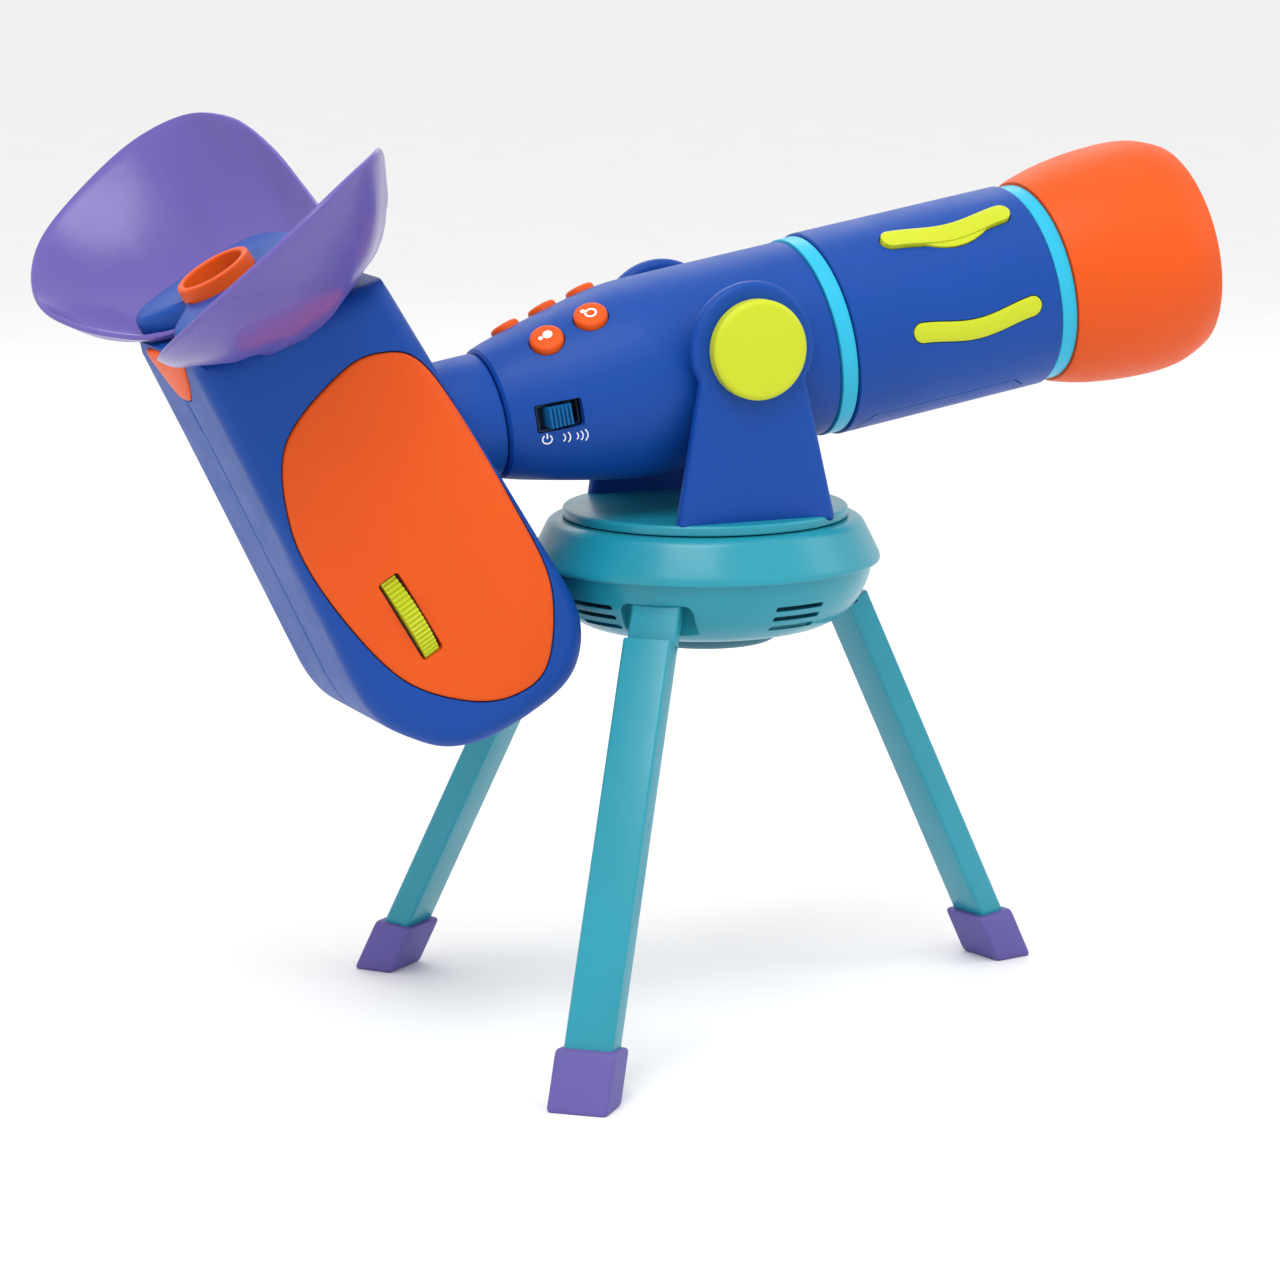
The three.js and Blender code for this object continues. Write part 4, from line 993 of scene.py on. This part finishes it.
def build_shade():
    """A winged bowl: an outer face, a rounded lip and an inner face one thickness inside."""
    columns = 216
    rows = 26
    whole = SHADE_RIM + [(x, -y, z) for x, y, z in SHADE_RIM[-2:0:-1]]
    rim_run = even_run(smooth_loop(whole, 12), columns)
    foot_run = even_run(smooth_loop(whole_bean(), 12), columns)
    face = shade_face(rim_run, foot_run, rows)
    normals = surface_normals(face)
    half = SHADE_THICKNESS / 2
    lip = []
    for k in range(1, SHADE_LIP_STEPS):
        turn = pi * k / SHADE_LIP_STEPS
        line = []
        for p, n, before in zip(face[rows], normals[rows], face[rows - 1]):
            forward = (p - before).normalized()
            line.append(p + n * half * (1 - cos(turn)) + forward * half * sin(turn))
        lip.append(line)
    inside = []
    for j in range(rows, -1, -1):
        inside.append([p + n * SHADE_THICKNESS for p, n in zip(face[j], normals[j])])
    shade = lofted("eye_shade_bowl", face + lip + inside, VIEWER, closed=True)
    dress(shade, "tube", "purple_gloss", "eye_shade")


FOCUS_RADIUS = 25.0
FOCUS_RIBS = 104
FOCUS_GROOVE = 0.9


def build_focus():
    steps = 720
    outline = []
    for i in range(steps):
        turn = 2 * pi * i / steps
        wave = 0.5 + 0.5 * cos(turn * FOCUS_RIBS)
        radius = FOCUS_RADIUS - FOCUS_GROOVE * (1 - wave ** 0.6)
        outline.append((radius * cos(turn), radius * sin(turn)))
    wheel_frame = local(VIEWER, *WHEEL_AT) @ ALONG
    disc = prism("focus_disc", outline, -2.5, 2.5, wheel_frame)
    dress(disc, "focus_wheel", "lime_trim", "focus_wheel")
    path = rounded([(-13, 0, 0), (-13, 2, 0.4), (9, 2, 0.4), (9, 0, 0)])
    axle = turned("focus_axle", path, wheel_frame, 32)
    dress(axle, "focus_wheel", "lime_trim")


# ---- fork, base and legs -------------------------------------------------
ARM = {"inner": 32, "thick": 5, "head": 20, "half_neck": 17, "neck_height": 201}
ARM_FOOT = (-24.7, 27.3)
ARM_FOOT_HEIGHT = 158.8
ARM_EDGE = 2.2
KNOB_RADIUS = 15


def build_fork():
    """Two arms with round heads, and the knobs that turn the tilt axis."""
    head = arc(ARM["head"], -20, 200, steps=44)
    foot = ARM_FOOT_HEIGHT - ARM_EDGE - pivot.z / MM
    neck = ARM["neck_height"] - pivot.z / MM
    outline = [(ARM_FOOT[0], foot), (ARM_FOOT[1], foot), (ARM["half_neck"], neck)]
    outline += head + [(-ARM["half_neck"], neck)]
    upright = PIVOT @ Matrix.Rotation(pi / 2, 4, "X")
    for name, low in (("left", ARM["inner"]), ("right", -ARM["inner"] - ARM["thick"])):
        arm = prism(f"fork_{name}", outline, -low - ARM["thick"], -low, upright)
        soften(arm, ARM_EDGE, 5, 30)
        cut(arm, turned("hole", [(-60, 0), (-60, 3.2), (60, 3.2), (60, 0)], upright, 32))
        dress(arm, "turret", "blue_shell", f"fork_arm_{name}")
        turn = -pi / 2 if low > 0 else pi / 2
        path = [
            (24, 0, 0), (24, 3, 0.3), (37.3, 3, 0), (37.3, KNOB_RADIUS, 0.5), (41.1, KNOB_RADIUS, 0.3),
            (42, KNOB_RADIUS - 1.1, 0.7), (42, 11, 0), (42, 0, 0),
        ]
        face = PIVOT @ Matrix.Rotation(turn, 4, "X")
        knob = turned(f"knob_{name}_cap", rounded(path), face, 128)
        dress(knob, f"knob_{name}", "lime_trim", f"tilt_knob_{name}")


def build_turntable():
    path = [
        (140, 5, 0), (140, 12, 0.4), (155.5, 12, 0), (155.5, 43.6, 0.3), (158.5, 43.6, 1.2), (158.5, 5, 0),
    ]
    table = turned("turntable_disc", rounded(path), BASE, 160, closed=True)
    dress(table, "turret", "teal_shell", "turntable")
    path = [
        (136.6, 0, 0), (136.6, 16, 0.3), (138.4, 16, 0.3), (138.4, 4.6, 0), (157.6, 4.6, 0.4), (157.6, 0, 0),
    ]
    screw = turned("spindle_screw", rounded(path), BASE, 64)
    dress(screw, "turret", "steel", "spindle_keeper")


# turned outlines of the base are (height, radius), some with the corner's rounding
BASE_SKIN = [
    (155.1, 44.4, 0), (155.1, 46.2, 0.9), (153.9, 48.2, 1.2), (143.6, 53.3, 1.4), (141.7, 53.5, 0.9),
    (141.7, 51.2, 0),
]
BASE_INSIDE = [(152.2, 45.5), (152.2, 15), (139, 15), (139, 12.4), (155.1, 12.4)]
BOWL_SKIN = [
    (121.4, 23.4), (121.4, 29), (122.0, 34), (123.6, 38.9), (127.2, 44.2), (132, 47.8), (137, 50),
    (141.6, 51),
]
LEG_HINGE = (47.5, 136.4)
SPLAY = radians(26.7)
LEG_STEP = 12.7
LEG_WIDTH = 15
LEG_DEPTH = 8.4
TONGUE_DEPTH = 4.6
RECESS_WIDTH = 22.8
VENT_AZIMUTHS = (-77.6, -159, 70.2)
VENT_SLOTS = ((127, 16.2), (130.2, 17), (133.4, 17.4))  # height, length


def leg_azimuth(index):
    """The way a leg points, from its hinge axis."""
    axis = JOINTS[f"leg_fold_{index}"]["axis"]
    return np.arctan2(-axis[0], axis[1])


def base_radial(azimuth):
    """The base's frame turned so that local +X points along an azimuth."""
    return BASE @ Matrix.Rotation(azimuth, 4, "Z")


def hinge_frame(index):
    return local(base_radial(leg_azimuth(index)), LEG_HINGE[0], 0, LEG_HINGE[1])


def bowl_cutters():
    """The recesses for the legs and the vent slots."""
    cutters = []
    window = [(x * 1.15 - 115.9, y) for x, y in rounded_box_outline(34, RECESS_WIDTH, 2.6)]
    for index in (1, 2, 3):
        spot = base_radial(leg_azimuth(index)) @ ALONG
        cutters.append(prism("recess", window, 41, 70, spot))
    for azimuth in VENT_AZIMUTHS:
        spot = base_radial(radians(azimuth)) @ ALONG
        for height, length in VENT_SLOTS:
            outline = [(x - height, y) for x, y in rounded_box_outline(1.5, length, 0.7)]
            cutters.append(prism("vent", outline, 41.5, 60, spot))
    return cutters


def build_base():
    skin = rounded(BASE_SKIN, 8)
    shell = turned("base_rim", skin + BASE_INSIDE, BASE, 200, closed=True)
    dress(shell, "base", "teal_shell", "base_shell")
    bowl_path = resample(spline_path(BOWL_SKIN), 1.2)
    bowl = turned("base_bowl_shell", [(121.4, 0)] + bowl_path + [(141.6, 0)], BASE, 240)
    cut(bowl, *bowl_cutters())
    dress(bowl, "base", "teal_shell", "base_bowl")
    path = [(117, 0, 0), (117, 20, 1.2), (118.6, 22.6, 1.2), (121.3, 23, 0), (121.3, 0, 0)]
    cap = turned("bottom_plug", rounded(path), BASE, 128)
    dress(cap, "base", "grey_inner", "bottom_cap")
    path = rounded([(-9, 0, 0), (-9, 1.0, 0.2), (9, 1.0, 0.2), (9, 0, 0)])
    for index in (1, 2, 3):
        across = hinge_frame(index) @ Matrix.Rotation(pi / 2, 4, "X")
        pin = turned(f"hinge_pin_{index}", path, across, 32)
        dress(pin, "base", "steel", f"leg_pin_{index}")


def build_legs():
    """Each leg is a bar with a thinner tongue that goes up behind the bowl's skin."""
    length = LEG_HINGE[1] / cos(SPLAY)
    tip = length - 5.9
    section = rounded_box_outline(LEG_DEPTH, LEG_WIDTH, 1.1, 5)
    thin = [(x + 1.9, y) for x, y in rounded_box_outline(TONGUE_DEPTH, LEG_WIDTH, 0.9, 5)]
    for index in (1, 2, 3):
        lean = hinge_frame(index) @ Matrix.Rotation(pi - SPLAY, 4, "Y")
        bar = prism(f"leg_bar_{index}", section, LEG_STEP, tip, lean)
        soften(bar, 0.4, 3, 60)
        dress(bar, f"leg_{index}", "teal_shell", f"leg_{index}")
        tongue = prism(f"leg_tongue_{index}", thin, -1, LEG_STEP + 1, lean)
        dress(tongue, f"leg_{index}", "teal_shell")
        build_foot(index)


FOOT_DEPTH = 14.0
FOOT_WIDTH = 18.5
FOOT_HEIGHT = 16
# height, inset of the section
FOOT_LEVELS = (
    (0.0, 0.7), (0.25, 0.3), (0.8, 0.05), (1.5, 0.0), (5, 0.0), (10, 0.0), (14.2, 0.0), (15.2, 0.08),
    (15.8, 0.4), (16.0, 0.9),
)


def build_foot(index):
    """A boot with a flat sole that leans with the leg: stacked rounded sections."""
    spot = base_radial(leg_azimuth(index))
    lean = np.tan(SPLAY)
    sole = LEG_HINGE[0] + LEG_HINGE[1] * lean
    rings = []
    for height, inset in FOOT_LEVELS:
        outline = rounded_box_outline(FOOT_DEPTH - 2 * inset, FOOT_WIDTH - 2 * inset, 1.3)
        share = height / FOOT_HEIGHT
        ring = []
        for x, y in outline:
            z = height + share * (0.8 * x / 7.0)
            ring.append((sole - height * lean + x - (z - height) * lean, y, z))
        rings.append(ring)
    boot = lofted(f"boot_{index}", rings, spot)
    dress(boot, f"leg_{index}", "foot_rubber", f"foot_{index}")


# ---- stage ---------------------------------------------------------------
CAMERA_TARGET = (0, 0, 150)
CAMERA_DISTANCE = 1425.3
CAMERA_AZIMUTH = -23.68
CAMERA_ELEVATION = 9.3
CAMERA_ROLL = -0.13
LENS = 131.25
SHIFT = (-0.051, -0.085)
SENSOR_WIDTH = 36
FLOOR_REACH = 9000
FLOOR_DROP = 0.05
# place, aim, size, power
LIGHTS = {
    "key": ((-0.5, -0.7, 1.5), (0, 0, 0.15), (0.9, 0.9), 15),
    "side": ((1.3, -0.5, 0.9), (0, 0, 0.15), (0.6, 1.0), 3),
    "rim": ((0.2, 1.3, 1.1), (0, 0, 0.2), (1.2, 0.5), 4),
}


def build_camera():
    azimuth = radians(CAMERA_AZIMUTH)
    elevation = radians(CAMERA_ELEVATION)
    level = cos(elevation)
    back = Vector((sin(azimuth) * level, -cos(azimuth) * level, sin(elevation)))
    right = Vector((cos(azimuth), sin(azimuth), 0))
    up = back.cross(right)
    turn = Matrix((right, up, back)).transposed().to_4x4()
    target = BASE @ Vector(CAMERA_TARGET)
    data = bpy.data.cameras.new("camera")
    data.lens = LENS
    data.sensor_width = SENSOR_WIDTH
    data.shift_x, data.shift_y = SHIFT
    data.clip_end = 20
    camera = bpy.data.objects.new("camera", data)
    place = Matrix.Translation(target + back * CAMERA_DISTANCE * MM) @ turn
    camera.matrix_world = place @ Matrix.Rotation(radians(CAMERA_ROLL), 4, "Z")
    bpy.context.scene.collection.objects.link(camera)
    bpy.context.scene.camera = camera


def area_light(name, place, aim, size, power):
    data = bpy.data.lights.new(name, "AREA")
    data.shape = "RECTANGLE"
    data.size, data.size_y = size
    data.energy = power
    light = bpy.data.objects.new(name, data)
    light.location = place
    light.rotation_euler = (Vector(aim) - Vector(place)).to_track_quat("-Z", "Y").to_euler()
    bpy.context.scene.collection.objects.link(light)


def build_stage():
    bpy.context.scene.view_settings.view_transform = "Standard"
    corners = [(-1, -1), (1, -1), (1, 1), (-1, 1)]
    points = [(x * FLOOR_REACH, y * FLOOR_REACH, -FLOOR_DROP) for x, y in corners]
    floor = add_mesh("studio_floor", points, [(0, 1, 2, 3)], BASE)
    floor.data.materials.append(FLOOR_WHITE)
    world = bpy.data.worlds.new("studio")
    world.use_nodes = True
    background = world.node_tree.nodes["Background"]
    background.inputs["Color"].default_value = (1, 1, 1, 1)
    background.inputs["Strength"].default_value = 1.0
    bpy.context.scene.world = world
    for name, values in LIGHTS.items():
        area_light(name, *values)


build_camera()
build_stage()
build_rear_tube()
build_buttons()
build_signs()
build_switch()
build_rings()
build_barrel()
build_hood()
build_neck()
build_viewer_shell()
build_insert("left", 1)
build_insert("right", -1)
build_nose_pad()
build_plate()
build_shade()
build_focus()
build_fork()
build_turntable()
build_base()
build_legs()
